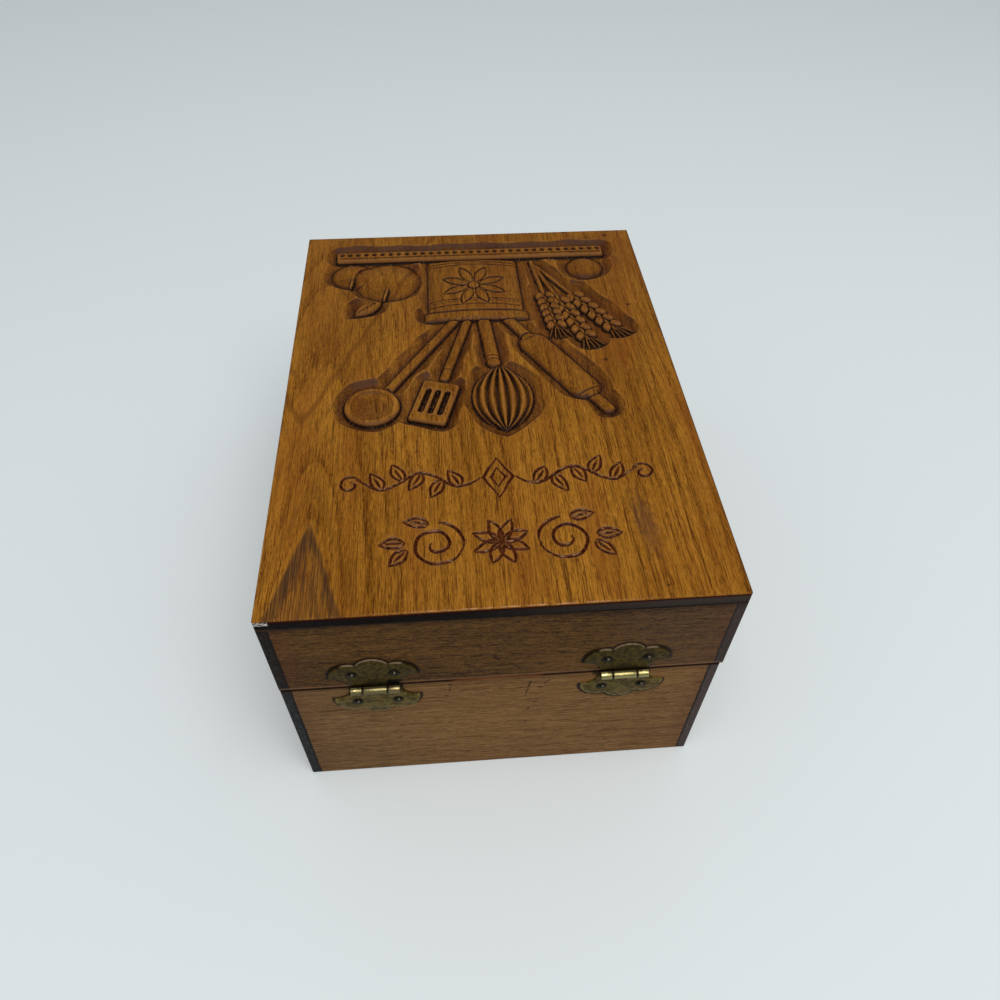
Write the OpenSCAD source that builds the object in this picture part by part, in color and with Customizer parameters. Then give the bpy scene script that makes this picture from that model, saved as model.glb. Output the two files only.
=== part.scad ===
// Recipe card box: a carved hardwood box sawn into a base and a lid, hung on two ornamental brass hinges.
// +X runs along the hinge line, +Y points to the back, where the hinges are, and +Z points up.
// The origin is the middle of the underside. Left and right are as seen from the front.

/* [Box] */
// Outside width of the base, along the hinge line
box_w = 146; // [140:1:190]
// Outside depth, from front to back
box_d = 206.5; // [200:0.5:260]
// Outside height with the lid shut
box_h = 106.4; // [92:0.2:130]
// Height of the lid, its top board included
lid_h = 41; // [30:0.2:52]
// How much wider the lid is than the base
lid_extra_w = 1.2; // [0:0.1:2]
// How far the middle of the lid lies to the right of the middle of the base
lid_shift = -0.4; // [-0.6:0.1:0.6]
// Gap that shows between the lid and the base when the lid is shut
seam_gap = 0.3; // [0.2:0.05:0.6]
// Rounding of the outer arrises
arris_r = 0.6; // [0.4:0.1:1.6]
// Rounding of the arrises that meet at the seam
seam_arris_r = 0.5; // [0.2:0.1:1.2]

/* [Boards] */
// Thickness of the four wall boards
wall_t = 6.3; // [5:0.1:9]
// Thickness of the carved top board
top_t = 5.2; // [5:0.1:9]
// Part of a side board's thickness that is left showing beside the front and back boards
lip_t = 3.4; // [2.4:0.1:4.2]
// Thickness of the bottom panel
panel_t = 4; // [3:0.1:6]
// Width of the ledge that the bottom panel has under each wall
panel_ledge = 2.5; // [1.5:0.1:3.5]
// Play all round the bottom panel in its rebate
panel_play = 0.1; // [0.05:0.05:0.4]

/* [Hinges] */
// Distance from the box's side to the middle of the hinge beside it
hinge_inset = 31.9; // [24:0.1:42]
// How far the pair of hinges sits to the right of the middle of the box
hinge_shift = 0.9; // [-1.5:0.1:1.5]
// Thickness of a hinge leaf
leaf_t = 0.7; // [0.5:0.05:0.9]
// Height of a leaf, from the pin's axis to the top of its middle lobe
leaf_h = 16.8; // [16.8:0.1:19]
// Radius of the middle lobe
lobe_r = 5.8; // [5:0.1:7]
// Radius of each wing lobe
wing_r = 6.6; // [6:0.1:7.4]
// Distance from the hinge's middle to the middle of a wing lobe
wing_x = 7.6; // [6.8:0.1:8.4]
// Distance from the pin's axis to the middle of a wing lobe
wing_z = 7.6; // [6.6:0.05:8]
// Radius of the scoop under each wing
scoop_r = 5.3; // [4.6:0.1:6]
// Distance from the hinge's middle to the middle of the scoop
scoop_x = 13.4; // [13:0.1:14.4]
// Distance from the pin's axis to the middle of the scoop
scoop_z = 1.5; // [1:0.1:2]
// Outer radius of the rolled knuckles
barrel_r = 1.4; // [1.3:0.05:1.7]
// Length of the barrel, all three knuckles together
barrel_l = 15.9; // [14:0.1:17]
// Length of the middle knuckle
middle_knuckle_l = 7.8; // [6:0.1:9]
// Gap between neighbouring knuckles
knuckle_gap = 0.35; // [0.2:0.05:0.6]
// Gap between the back of the box and the knuckles
barrel_stand_off = 0.3; // [0.2:0.05:0.5]
// Gap between a knuckle and the edge of the slot that it turns in
slot_gap = 0.5; // [0.3:0.1:1]
// Radius of the hinge pin
pin_r = 0.65; // [0.6:0.05:0.9]
// Radial play of the pin in the knuckles
pin_play = 0.05; // [0.02:0.01:0.09]

/* [Nails] */
// Radius of a nail's shank
nail_r = 0.55; // [0.4:0.05:0.7]
// Radial play of the shank in its hole in the wood
nail_play = 0.03; // [0.01:0.01:0.08]
// Radial play of the shank in its hole in the leaf
leaf_hole_play = 0.2; // [0.1:0.05:0.4]
// Length of the shank under the head
nail_l = 5.6; // [4:0.1:5.8]
// Length of the shank's point
nail_point_l = 1.4; // [1:0.1:2]
// Radius of the round head
head_r = 1.3; // [1:0.05:1.6]
// Height of the round head
head_h = 0.8; // [0.5:0.05:0.9]
// Distance from the hinge's middle to a nail
nail_x = 6.7; // [5.6:0.1:7.4]
// Distance from the pin's axis to a nail
nail_z = 8.8; // [7.6:0.1:9.6]

/* [Carving] */
// Width of the carved picture
relief_w = 120; // [90:1:124]
// Distance from the lid's front edge to the foot of the picture
relief_front = 11.6; // [9:0.1:30]
// Depth of the cut-away ground
ground_depth = 2.4; // [1.2:0.1:3.2]
// Margin of ground round the carved forms
ground_margin = 4.2; // [2:0.1:5]
// Depth of the flat carved faces below the lid's face
face_depth = 0.5; // [0.2:0.1:0.9]
// Radius on the ends of straight-sided forms
form_corner_r = 1.6; // [1:0.1:2]

/* [Hidden] */
$fn = 48;

left = -1;
right = 1;
front = -1;
back = 1;
up = 1;
down = -1;

lid_w = box_w + lid_extra_w;
lid_z = box_h - lid_h;
rim_z = lid_z - seam_gap;
under_top_z = box_h - top_t;
// A length that reaches past the whole box
past = box_w + box_d + box_h;
// How far a cut starts outside the face that it opens
cut_lead = 1;

pin_y = box_d / 2 + barrel_stand_off + barrel_r;
pin_z = (lid_z + rim_z) / 2;
leaf_back_y = -barrel_stand_off - barrel_r;
lobe_z = leaf_h - lobe_r;
slot_z = barrel_r + slot_gap;
slot_end_x = barrel_l / 2 + slot_gap;
middle_half = middle_knuckle_l / 2;
outer_start = middle_half + knuckle_gap;
outer_l = barrel_l / 2 - outer_start;

// The picture is laid out in hundredths of its width, upright when seen from the front.
// Its origin is the middle of its foot.
u = relief_w / 100;
rise = ground_depth - face_depth;
slab_t = ground_depth * 1.2;
shelf = [0, 3.25];
shelf_half = [50, 3.25];
crock = [0, 24];
crock_half = [16.5, 17];
crock_belly_r = 23;
crock_fall = 1.1;
rim = [0, 41.5];
rim_half = [18, 2.5];
whisk_grip = [[-2, 41], [-4, 67]];
whisk_grip_half = 2.3;
whisk_wires = [-5.6, 84];
whisk_wires_half = 9.5;
whisk_length_half = 15;
pin_grip = [[-9, 41], [-16, 53.3]];
pin_grip_half = 2.2;
pin_body = [[-18.5, 57.6], [-31.5, 80.4]];
pin_body_half = 5.4;
pin_far_grip = [[-34, 84.8], [-37.6, 91.1]];
turner_handle = [[2.5, 41], [12.2, 74]];
turner_handle_half = 1.6;
turner_blade = [15.6, 85.6];
turner_blade_half = [6, 9.5];
turner_turn = -16.5;
turner_slots = [-3, 0, 3];
turner_slot = [1.6, 11];
spoon_handle = [[6, 41], [29.5, 78.2]];
spoon_handle_half = 1.8;
spoon_bowl = [34.6, 86.2];
spoon_bowl_r = 8.6;
spoon_hollow_r = 6.4;
big_apple = [31, 18.5];
big_apple_r = 11.6;
small_apple = [43.5, 14.4];
small_apple_r = 7.6;
apple_leaf = [[33, 31], [42, 39.4]];
apple_leaf_half = 3;
egg = [-41.5, 13.4];
egg_r = 6.7;
ear_foot = [-22, 9];
ear_tips = [[-46.5, 51.5], [-36.5, 56.5], [-27, 50]];
ear_half = 4.2;
ear_start = 0.5;
kernel_rows = 6;
kernel_r = 2.1;
kernel_side = 2;
stem_half = 0.9;

// Radius of the arc that bulges by a rise over a half chord
function arc_r(half_chord, bulge) = (half_chord * half_chord + bulge * bulge) / (2 * bulge);

// Direction of a line, as an angle
function heading(a, b) = atan2(b[1] - a[1], b[0] - a[0]);

// Board outlines

// An upright rectangle on y = 0, with one radius on its lower corners and one on its upper corners.
module rounded_outline(w, h, low_r, top_r) {
    translate([-w / 2, low_r])
        square([w, h - low_r - top_r]);
    translate([low_r - w / 2, 0])
        square([w - 2 * low_r, h / 2]);
    translate([top_r - w / 2, h / 2])
        square([w - 2 * top_r, h / 2]);
    for (s = [-1, 1]) {
        translate([s * (w / 2 - low_r), low_r])
            circle(low_r);
        translate([s * (w / 2 - top_r), h - top_r])
            circle(top_r);
    }
}

// A block as deep as the box between two heights, with its outer arrises rounded.
module eased_block(w, low_z, top_z, low_r, top_r) {
    h = top_z - low_z;
    translate([0, 0, low_z])
        intersection() {
            translate([0, -box_d / 2, 0])
                linear_extrude(h)
                    rounded_outline(w, box_d, arris_r, arris_r);
            rotate([90, 0, 0])
                linear_extrude(past, center = true)
                    rounded_outline(w, h, low_r, top_r);
            rotate([90, 0, 90])
                linear_extrude(past, center = true)
                    rounded_outline(box_d, h, low_r, top_r);
        }
}

module base_block() {
    eased_block(box_w, 0, rim_z, arris_r, seam_arris_r);
}

module lid_block() {
    eased_block(lid_w, lid_z, box_h, seam_arris_r, arris_r);
}

// A side board runs the full depth, with a rebate at each end for the front and back boards.
module side_board(side, w, low_z, top_z) {
    difference() {
        translate([side * (w - wall_t) / 2, 0, (low_z + top_z) / 2])
            cube([wall_t, box_d, top_z - low_z], center = true);
        for (end = [front, back])
            end_board(end, w, low_z - cut_lead, top_z + cut_lead);
    }
}

// A front or back board sits in the side boards' rebates.
module end_board(end, w, low_z, top_z) {
    translate([0, end * (box_d - wall_t) / 2, (low_z + top_z) / 2])
        cube([w - 2 * lip_t, wall_t, top_z - low_z], center = true);
}

// The rebate round the foot of the walls that the bottom panel is let into.
module panel_rebate() {
    translate([0, 0, (panel_t - cut_lead) / 2])
        cube([
            box_w - 2 * wall_t + 2 * panel_ledge,
            box_d - 2 * wall_t + 2 * panel_ledge,
            panel_t + cut_lead
        ], center = true);
}

module base_wall(end) {
    color("#6b4a2e")
        difference() {
            intersection() {
                base_block();
                end_board(end, box_w, 0, rim_z);
            }
            panel_rebate();
            if (end == back)
                hinge_nail_holes(down);
        }
}

module base_side(side) {
    color("#6b4a2e")
        difference() {
            intersection() {
                base_block();
                side_board(side, box_w, 0, rim_z);
            }
            panel_rebate();
        }
}

module bottom_panel() {
    color("#8a6a45")
        translate([0, 0, panel_t / 2])
            cube([
                box_w - 2 * wall_t + 2 * (panel_ledge - panel_play),
                box_d - 2 * wall_t + 2 * (panel_ledge - panel_play),
                panel_t
            ], center = true);
}

module lid_wall(end) {
    color("#5f4028")
        difference() {
            translate([lid_shift, 0, 0])
                intersection() {
                    lid_block();
                    end_board(end, lid_w, lid_z, under_top_z);
                }
            if (end == back)
                hinge_nail_holes(up);
        }
}

module lid_side(side) {
    color("#5f4028")
        translate([lid_shift, 0, 0])
            intersection() {
                lid_block();
                side_board(side, lid_w, lid_z, under_top_z);
            }
}

// Carved picture

module bar(ends, half, grow = 0) {
    a = ends[0] * u;
    b = ends[1] * u;
    length = norm(b - a);
    translate(a)
        rotate(heading(a, b)) {
            translate([0, -half * u - grow])
                square([length, 2 * (half * u + grow)]);
            for (x = [0, length])
                translate([x, 0])
                    circle(half * u + grow);
        }
}

module disc(at, r, grow = 0) {
    translate(at * u)
        circle(r * u + grow);
}

// A rectangle with round corners, centred on its place.
module plate(at, half, grow = 0, turn = 0) {
    w = 2 * (half[0] * u + grow);
    h = 2 * (half[1] * u + grow);
    translate(at * u)
        rotate(turn)
            translate([0, -h / 2])
                rounded_outline(w, h, form_corner_r + grow, form_corner_r + grow);
}

// A pointed oval between two points: where two equal discs overlap.
module lens(ends, half, grow = 0) {
    a = ends[0] * u;
    b = ends[1] * u;
    r = arc_r(norm(b - a) / 2, half * u);
    translate((a + b) / 2)
        rotate(heading(a, b))
            intersection_for (s = [-1, 1])
                translate([0, s * (r - half * u)])
                    circle(r + grow);
}

module crock_outline(grow = 0) {
    intersection() {
        plate(crock, crock_half, grow);
        disc(crock, crock_belly_r, grow);
    }
}

module wires_outline(grow = 0) {
    reach = [0, whisk_length_half];
    lens([whisk_wires - reach, whisk_wires + reach], whisk_wires_half, grow);
}

module ear_outline(tip, grow = 0) {
    bar([ear_foot + (tip - ear_foot) * ear_start, tip], ear_half, grow);
    bar([ear_foot, tip], stem_half, grow);
}

// Everything that stands in the ground, grown sideways by the margin.
module picture_outline(grow) {
    plate(shelf, shelf_half, grow);
    crock_outline(grow);
    plate(rim, rim_half, grow);
    bar(whisk_grip, whisk_grip_half, grow);
    wires_outline(grow);
    bar(pin_grip, pin_grip_half, grow);
    bar(pin_body, pin_body_half, grow);
    bar(pin_far_grip, pin_grip_half, grow);
    bar(turner_handle, turner_handle_half, grow);
    plate(turner_blade, turner_blade_half, grow, turner_turn);
    bar(spoon_handle, spoon_handle_half, grow);
    disc(spoon_bowl, spoon_bowl_r, grow);
    disc(big_apple, big_apple_r, grow);
    disc(small_apple, small_apple_r, grow);
    lens(apple_leaf, apple_leaf_half, grow);
    disc(egg, egg_r, grow);
    for (tip = ear_tips)
        ear_outline(tip, grow);
}

// A flat-topped form that rises from the ground to a depth below the lid's face.
module flat_form(depth = face_depth) {
    translate([0, 0, -slab_t])
        linear_extrude(slab_t - depth)
            children();
}

// A dome on a disc: the cap of a large ball.
module dome(at, r) {
    ball_r = arc_r(r * u, rise);
    intersection() {
        translate([at[0] * u, at[1] * u, -face_depth - ball_r])
            sphere(ball_r);
        translate([at[0] * u, at[1] * u, -slab_t])
            cylinder(r = r * u, h = slab_t);
    }
}

// A round-topped bar: the top of a large cylinder that lies along it.
module round_bar(ends, half) {
    a = ends[0] * u;
    b = ends[1] * u;
    rod_r = arc_r(half * u, rise);
    intersection() {
        translate([a[0], a[1], -face_depth - rod_r])
            rotate([90, 0, heading(a, b) + 90])
                cylinder(r = rod_r, h = norm(b - a));
        flat_form(0)
            square(past, center = true);
    }
}

// The jar's belly is the side of a large upright cylinder.
module crock_body() {
    belly_r = arc_r(crock_half[0] * u, crock_fall);
    intersection() {
        flat_form()
            crock_outline();
        translate([crock[0] * u, 0, -face_depth - belly_r])
            rotate([90, 0, 0])
                cylinder(r = belly_r, h = past, center = true);
    }
}

module turner() {
    round_bar(turner_handle, turner_handle_half);
    difference() {
        flat_form()
            plate(turner_blade, turner_blade_half, 0, turner_turn);
        translate(turner_blade * u)
            rotate(turner_turn)
                for (x = turner_slots)
                    translate([x * u, 0, -ground_depth])
                        linear_extrude(slab_t)
                            square(turner_slot * u, center = true);
    }
}

module spoon() {
    hollow_r = arc_r(spoon_hollow_r * u, rise);
    round_bar(spoon_handle, spoon_handle_half);
    difference() {
        flat_form()
            disc(spoon_bowl, spoon_bowl_r);
        translate([spoon_bowl[0] * u, spoon_bowl[1] * u, hollow_r - ground_depth])
            sphere(hollow_r);
    }
}

module whisk() {
    round_bar(whisk_grip, whisk_grip_half);
    flat_form()
        wires_outline();
}

module rolling_pin() {
    round_bar(pin_grip, pin_grip_half);
    round_bar(pin_body, pin_body_half);
    round_bar(pin_far_grip, pin_grip_half);
}

module wheat_ear(tip) {
    along = (tip - ear_foot) / norm(tip - ear_foot);
    across = [-along[1], along[0]];
    step = norm(tip - ear_foot) * (1 - ear_start) / kernel_rows;
    flat_form(ground_depth / 2)
        bar([ear_foot, tip], stem_half);
    for (i = [1:kernel_rows], s = [-1, 1])
        dome(tip - along * (i - 0.5) * step + across * s * kernel_side, kernel_r);
}

module picture_forms() {
    flat_form()
        plate(shelf, shelf_half);
    for (tip = ear_tips)
        wheat_ear(tip);
    whisk();
    rolling_pin();
    turner();
    spoon();
    crock_body();
    flat_form()
        plate(rim, rim_half);
    dome(small_apple, small_apple_r);
    dome(big_apple, big_apple_r);
    flat_form()
        lens(apple_leaf, apple_leaf_half);
    dome(egg, egg_r);
}

module lid_top_board() {
    color("#8f5a22") {
        difference() {
            translate([lid_shift, 0, 0])
                intersection() {
                    lid_block();
                    translate([0, 0, under_top_z + past / 2])
                        cube(past, center = true);
                }
            translate([0, relief_front - box_d / 2, box_h - ground_depth])
                linear_extrude(past)
                    picture_outline(ground_margin);
        }
        translate([0, relief_front - box_d / 2, box_h])
            picture_forms();
    }
}

// Hinges

// A leaf seen from behind: a middle lobe between two wings with scooped undersides.
module leaf_outline() {
    difference() {
        union() {
            translate([0, lobe_z])
                circle(lobe_r);
            for (s = [-1, 1])
                translate([s * wing_x, wing_z])
                    circle(wing_r);
            translate([-wing_x, 0])
                square([2 * wing_x, lobe_z]);
            translate([-barrel_l / 2, 0])
                square([barrel_l, wing_z]);
        }
        for (s = [-1, 1])
            translate([s * scoop_x, scoop_z])
                circle(scoop_r);
    }
}

module rod_x(from_x, length, r) {
    translate([from_x, 0, 0])
        rotate([0, 90, 0])
            cylinder(r = r, h = length);
}

module middle_knuckle() {
    rod_x(-middle_half, middle_knuckle_l, barrel_r);
}

module outer_knuckles() {
    for (x = [-barrel_l / 2, outer_start])
        rod_x(x, outer_l, barrel_r);
}

module middle_slot() {
    translate([0, leaf_back_y + leaf_t / 2, 0])
        cube([2 * outer_start, leaf_t + cut_lead, 2 * slot_z], center = true);
}

module outer_slots() {
    for (s = [-1, 1])
        translate([s * (middle_half + slot_end_x) / 2, leaf_back_y + leaf_t / 2, 0])
            cube([slot_end_x - middle_half, leaf_t + cut_lead, 2 * slot_z], center = true);
}

// A place in the hinge's frame, whose origin is the middle of the pin.
module at_hinge(side) {
    translate([side * (box_w / 2 - hinge_inset) + hinge_shift, pin_y, pin_z])
        children();
}

module at_nails(way) {
    for (s = [-1, 1])
        translate([s * nail_x, leaf_back_y, way * nail_z])
            rotate([-90, 0, 0])
                children();
}

module leaf_plate(way) {
    translate([0, leaf_back_y + leaf_t / 2, 0])
        rotate([way * 90, 0, 0])
            linear_extrude(leaf_t, center = true)
                leaf_outline();
}

module pin_bore() {
    rod_x(-barrel_l / 2 - cut_lead, barrel_l + 2 * cut_lead, pin_r + pin_play);
}

module leaf_nail_holes(way) {
    at_nails(way)
        translate([0, 0, -cut_lead])
            cylinder(r = nail_r + leaf_hole_play, h = leaf_t + 2 * cut_lead);
}

module lid_leaf(side) {
    color("#7a6a3a")
        at_hinge(side)
            difference() {
                union() {
                    difference() {
                        leaf_plate(up);
                        outer_slots();
                    }
                    middle_knuckle();
                }
                pin_bore();
                leaf_nail_holes(up);
            }
}

module base_leaf(side) {
    color("#7a6a3a")
        at_hinge(side)
            difference() {
                union() {
                    difference() {
                        leaf_plate(down);
                        middle_slot();
                    }
                    outer_knuckles();
                }
                pin_bore();
                leaf_nail_holes(down);
            }
}

module hinge_pin(side) {
    color("#b59a4a")
        at_hinge(side)
            rod_x(-barrel_l / 2, barrel_l, pin_r);
}

// Nails

// A nail along +Z, with the underside of its head at the leaf's face.
module nail() {
    ball_r = arc_r(head_r, head_h);
    translate([0, 0, leaf_t]) {
        intersection() {
            translate([0, 0, head_h - ball_r])
                sphere(ball_r);
            cylinder(r = head_r, h = head_h);
        }
        translate([0, 0, nail_point_l - nail_l])
            cylinder(r = nail_r, h = nail_l - nail_point_l);
        translate([0, 0, -nail_l])
            cylinder(r1 = 0, r2 = nail_r, h = nail_point_l);
    }
}

module hinge_nails(side, way) {
    color("#6a5a30")
        at_hinge(side)
            at_nails(way)
                nail();
}

module hinge_nail_holes(way) {
    for (side = [left, right])
        at_hinge(side)
            at_nails(way)
                translate([0, 0, leaf_t - nail_l - nail_play])
                    cylinder(r = nail_r + nail_play, h = nail_l + cut_lead);
}

base_wall(back);  // base_back_board
base_wall(front);  // base_front_board
base_side(left);  // base_left_side
base_side(right);  // base_right_side
bottom_panel();
lid_top_board();
lid_wall(back);  // lid_back_rail
lid_wall(front);  // lid_front_rail
lid_side(left);  // lid_left_rail
lid_side(right);  // lid_right_rail
base_leaf(left);  // left_hinge_base_leaf
lid_leaf(left);  // left_hinge_lid_leaf
hinge_pin(left);  // left_hinge_pin
hinge_nails(left, down);  // left_hinge_base_nails
hinge_nails(left, up);  // left_hinge_lid_nails
base_leaf(right);  // right_hinge_base_leaf
lid_leaf(right);  // right_hinge_lid_leaf
hinge_pin(right);  // right_hinge_pin
hinge_nails(right, down);  // right_hinge_base_nails
hinge_nails(right, up);  // right_hinge_lid_nails
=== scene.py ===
# %% [markdown]
# # A carved recipe card box
# The box is a stained hardwood box that was sawn into a base and a lid and hung on two small brass
# hinges. The lid is a carved board. We look at it from behind and above, so the hinges face us.
#
# The frame holds every solid piece of the real construction, at its real size and place, in metres.
# We load it first, and read the box of each of its pieces.
# Whatever we model has to stay inside it.

# %% Load the frame
import math
from functools import reduce

import bmesh
import bpy
import numpy as np
from mathutils import Matrix, Quaternion, Vector


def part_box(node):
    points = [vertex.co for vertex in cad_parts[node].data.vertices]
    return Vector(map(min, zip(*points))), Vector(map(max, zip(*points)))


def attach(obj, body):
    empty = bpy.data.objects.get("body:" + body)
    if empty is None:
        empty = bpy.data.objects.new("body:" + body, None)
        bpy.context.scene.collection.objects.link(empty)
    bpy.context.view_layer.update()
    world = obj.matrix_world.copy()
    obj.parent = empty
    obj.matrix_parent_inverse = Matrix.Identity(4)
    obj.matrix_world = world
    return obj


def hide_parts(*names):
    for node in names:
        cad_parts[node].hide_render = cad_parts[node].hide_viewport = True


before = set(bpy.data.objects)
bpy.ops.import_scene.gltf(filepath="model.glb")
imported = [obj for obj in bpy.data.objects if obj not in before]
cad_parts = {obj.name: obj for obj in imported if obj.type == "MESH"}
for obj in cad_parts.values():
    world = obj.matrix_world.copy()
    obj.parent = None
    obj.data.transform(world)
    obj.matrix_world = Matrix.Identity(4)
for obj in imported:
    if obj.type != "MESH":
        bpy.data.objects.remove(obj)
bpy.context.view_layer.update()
MM = 0.001

# %% [markdown]
# ## Sizes
# The frame tells us where each piece is. We read the few sizes that the later steps share, and turn
# them into millimetres, because a carver thinks of a lid and a chisel cut in millimetres.


# %% Sizes read from the frame
def box_mm(node):
    low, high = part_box(node)
    return np.array(low) / MM, np.array(high) / MM


board_low, board_high = box_mm("lid_top_board")
board_left, board_right = board_low[0], board_high[0]
half_depth, lid_face = board_high[1:]
board_underside = board_low[2]
lid_foot = box_mm("lid_back_rail")[0][2]
rim_height = box_mm("base_back_board")[1][2]
side_lip = box_mm("base_right_side")[1][0] - box_mm("base_back_board")[1][0]
print(f"lid {board_right - board_left:.1f} x {2 * half_depth:.1f} mm, its face at {lid_face:.1f} mm")
print(f"seam from {rim_height:.1f} to {lid_foot:.1f} mm")

# %% [markdown]
# ## Camera
# The camera stands behind the box and looks down on its lid. Its place, its direction and its lens
# were worked out from the corners of the box, so the box keeps the same outline. A track quaternion
# turns a camera towards a direction with its horizon level, and a last small turn about its own axis
# tilts the horizon. The lamp is set up the same way, so both use one function.

# %% Camera
camera_place = Vector((13.8, 231.7, 299.9)) * MM
camera_direction = Vector((-0.05966, -0.65922, -0.74958))
camera_tilt = math.radians(0.977)


def new_object(name, data):
    """A new object in the scene, at the origin, unturned and unscaled."""
    made = bpy.data.objects.new(name, data)
    bpy.context.scene.collection.objects.link(made)
    return made


def aimed(name, data, place, direction, tilt=0.0):
    """A camera or a lamp at a place, which looks along a direction."""
    made = new_object(name, data)
    made.location = place
    made.rotation_mode = "QUATERNION"
    made.rotation_quaternion = direction.to_track_quat("-Z", "Y") @ Quaternion((0, 0, 1), tilt)
    return made


camera_data = bpy.data.cameras.new("camera")
camera_data.lens = 28.49
camera_data.sensor_width = 36
camera = aimed("camera", camera_data, camera_place, camera_direction, camera_tilt)
bpy.context.scene.camera = camera
bpy.context.scene.view_settings.view_transform = "Standard"
print("camera at", [round(c / MM, 1) for c in camera.location])

# %% [markdown]
# ## Writing a material as arithmetic
# A procedural material is maths on the position of a point. Wiring that maths node by node hides it,
# so a small class wraps a node's output and adds the Math nodes when Python does arithmetic on it.
# A second class adds any other node: its settings first, then the values or links of its sockets.


# %% Shader arithmetic
class Signal:
    """A number or colour that varies over the surface: the output of a node."""

    def __init__(self, nodes, socket):
        self.nodes = nodes
        self.socket = socket

    def math(self, operation, *values):
        return self.nodes.add("Math", {"operation": operation}, dict(enumerate(values)))

    def __add__(self, other):
        return self.math("ADD", self, other)

    def __sub__(self, other):
        return self.math("SUBTRACT", self, other)

    def __rsub__(self, other):
        return self.math("SUBTRACT", other, self)

    def __mul__(self, other):
        return self.math("MULTIPLY", self, other)

    def __truediv__(self, other):
        return self.math("DIVIDE", self, other)

    __radd__ = __add__
    __rmul__ = __mul__

    def __abs__(self):
        return self.math("ABSOLUTE", self)

    def most(self, other):
        return self.math("MAXIMUM", self, other)

    def least(self, other):
        return self.math("MINIMUM", self, other)

    def fraction(self):
        return self.math("FRACT", self)

    def root(self):
        return self.math("SQRT", self)

    def step(self, start, end):
        """0 at start and 1 at end, with a smooth rise between them. Start may be the larger."""
        settings = {"interpolation_type": "SMOOTHSTEP", "clamp": True}
        return self.nodes.add("MapRange", settings, {"Value": self, "From Min": start, "From Max": end})


print("a Signal can", ", ".join(name for name in vars(Signal) if name[0] != "_"))


# %% Nodes of one material
class Nodes:
    """Adds nodes to one material. Its body is the colour so far, which covers and shades change."""

    def __init__(self, name, body=(128, 128, 128)):
        self.material = bpy.data.materials.new(name)
        self.material.use_nodes = True
        self.tree = self.material.node_tree
        self.tree.nodes.clear()
        self.body = body

    def add(self, kind, settings=(), sockets=(), output=0):
        node = self.tree.nodes.new("ShaderNode" + kind)
        for name, value in dict(settings).items():
            setattr(node, name, value)
        for name, value in dict(sockets).items():
            if isinstance(value, Signal):
                self.tree.links.new(value.socket, node.inputs[name])
            else:
                node.inputs[name].default_value = value
        return Signal(self, node.outputs[output] if len(node.outputs) else None)

    def position(self):
        """X, Y and Z of the point in millimetres, in the box's own frame."""
        place = self.add("TexCoord", output="Object")
        place = self.add("VectorMath", {"operation": "SCALE"}, {0: place, "Scale": 1 / MM})
        return [self.add("SeparateXYZ", sockets={0: place}, output=axis) for axis in "XYZ"]

    def noise(self, x, y, z, detail=2.0, roughness=0.5):
        place = self.add("CombineXYZ", sockets={0: x, 1: y, 2: z})
        values = {"Vector": place, "Scale": 1.0, "Detail": detail, "Roughness": roughness}
        return self.add("TexNoise", sockets=values)

    def attribute(self, name):
        return self.add("Attribute", {"attribute_name": name}, output="Fac")

    def blend(self, share, first, second):
        """A colour that goes from the first to the second as share goes from 0 to 1."""
        values = {0: share, 6: colour(first), 7: colour(second)}
        return self.add("Mix", {"data_type": "RGBA", "clamp_factor": True}, values, output=2)

    def cover(self, share, tone):
        """Lays a tone over the body colour."""
        self.body = self.blend(share, self.body, tone)

    def shade(self, share, factor):
        """Multiplies the body colour by a factor. Unlike a cover it keeps the grain's contrast."""
        values = {0: share, 6: self.body, 7: (*factor, 1.0)}
        self.body = self.add("Mix", {"data_type": "RGBA", "blend_type": "MULTIPLY"}, values, output=2)

    def bump(self, height, distance):
        """Bumps, where a height of 1 stands a distance in millimetres proud."""
        return self.add("Bump", sockets={"Height": height, "Distance": distance * MM})

    def finish(self, **sockets):
        """Ends the material with a Principled shader. An underscore stands for a space in a name."""
        values = {name.replace("_", " "): value for name, value in sockets.items()}
        values["Base Color"] = colour(self.body)
        shader = self.add("BsdfPrincipled", sockets=values)
        self.add("OutputMaterial", sockets={"Surface": shader})
        return self.material


print("Nodes can", ", ".join(name for name in vars(Nodes) if name[0] != "_"))


# %% Colours and distances
def colour(value):
    """A colour as a screen shows it, from 0 to 255, turned into linear light. A Signal stays as it is."""
    if isinstance(value, Signal):
        return value
    shares = [c / 255 for c in value]
    return (*(s / 12.92 if s <= 0.04045 else ((s + 0.055) / 1.055) ** 2.4 for s in shares), 1.0)


def apart(across, up):
    """How far a point lies from the place where both numbers are zero."""
    return (across * across + up * up).root()


print("a grey of 128 is", round(colour([128] * 3)[0], 3), "in linear light")

# %% [markdown]
# ## Floor and light
# The box stands on a plain pale floor under soft light. One large lamp hangs above and a little
# behind the camera, and the world adds the same light from all sides, so shadows stay soft and a
# colour renders about as it is written. A satin board mirrors what lies across from the camera, so
# nothing bright is hung there.

# %% Floor
floor_half = 3.0


def mesh_of(name, work):
    """The mesh of a finished bmesh."""
    data = bpy.data.meshes.new(name)
    work.to_mesh(data)
    work.free()
    return data


floor_work = bmesh.new()
bmesh.ops.create_grid(floor_work, x_segments=1, y_segments=1, size=floor_half)
floor = new_object("floor", mesh_of("floor", floor_work))
floor.data.materials.append(Nodes("pale_floor", (227, 234, 235)).finish(Roughness=0.9))
print("floor", 2 * floor_half, "m wide")

# %% Light
world_light = 0.47
lamp_place, lamp_target = Vector((-0.17, 0.6, 1.55)), Vector((0, 0, 0.05))

world = bpy.data.worlds.new("world")
bpy.context.scene.world = world
world.use_nodes = True
sky = world.node_tree.nodes["Background"].inputs
sky["Color"].default_value = colour((240, 244, 250))
sky["Strength"].default_value = world_light

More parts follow.
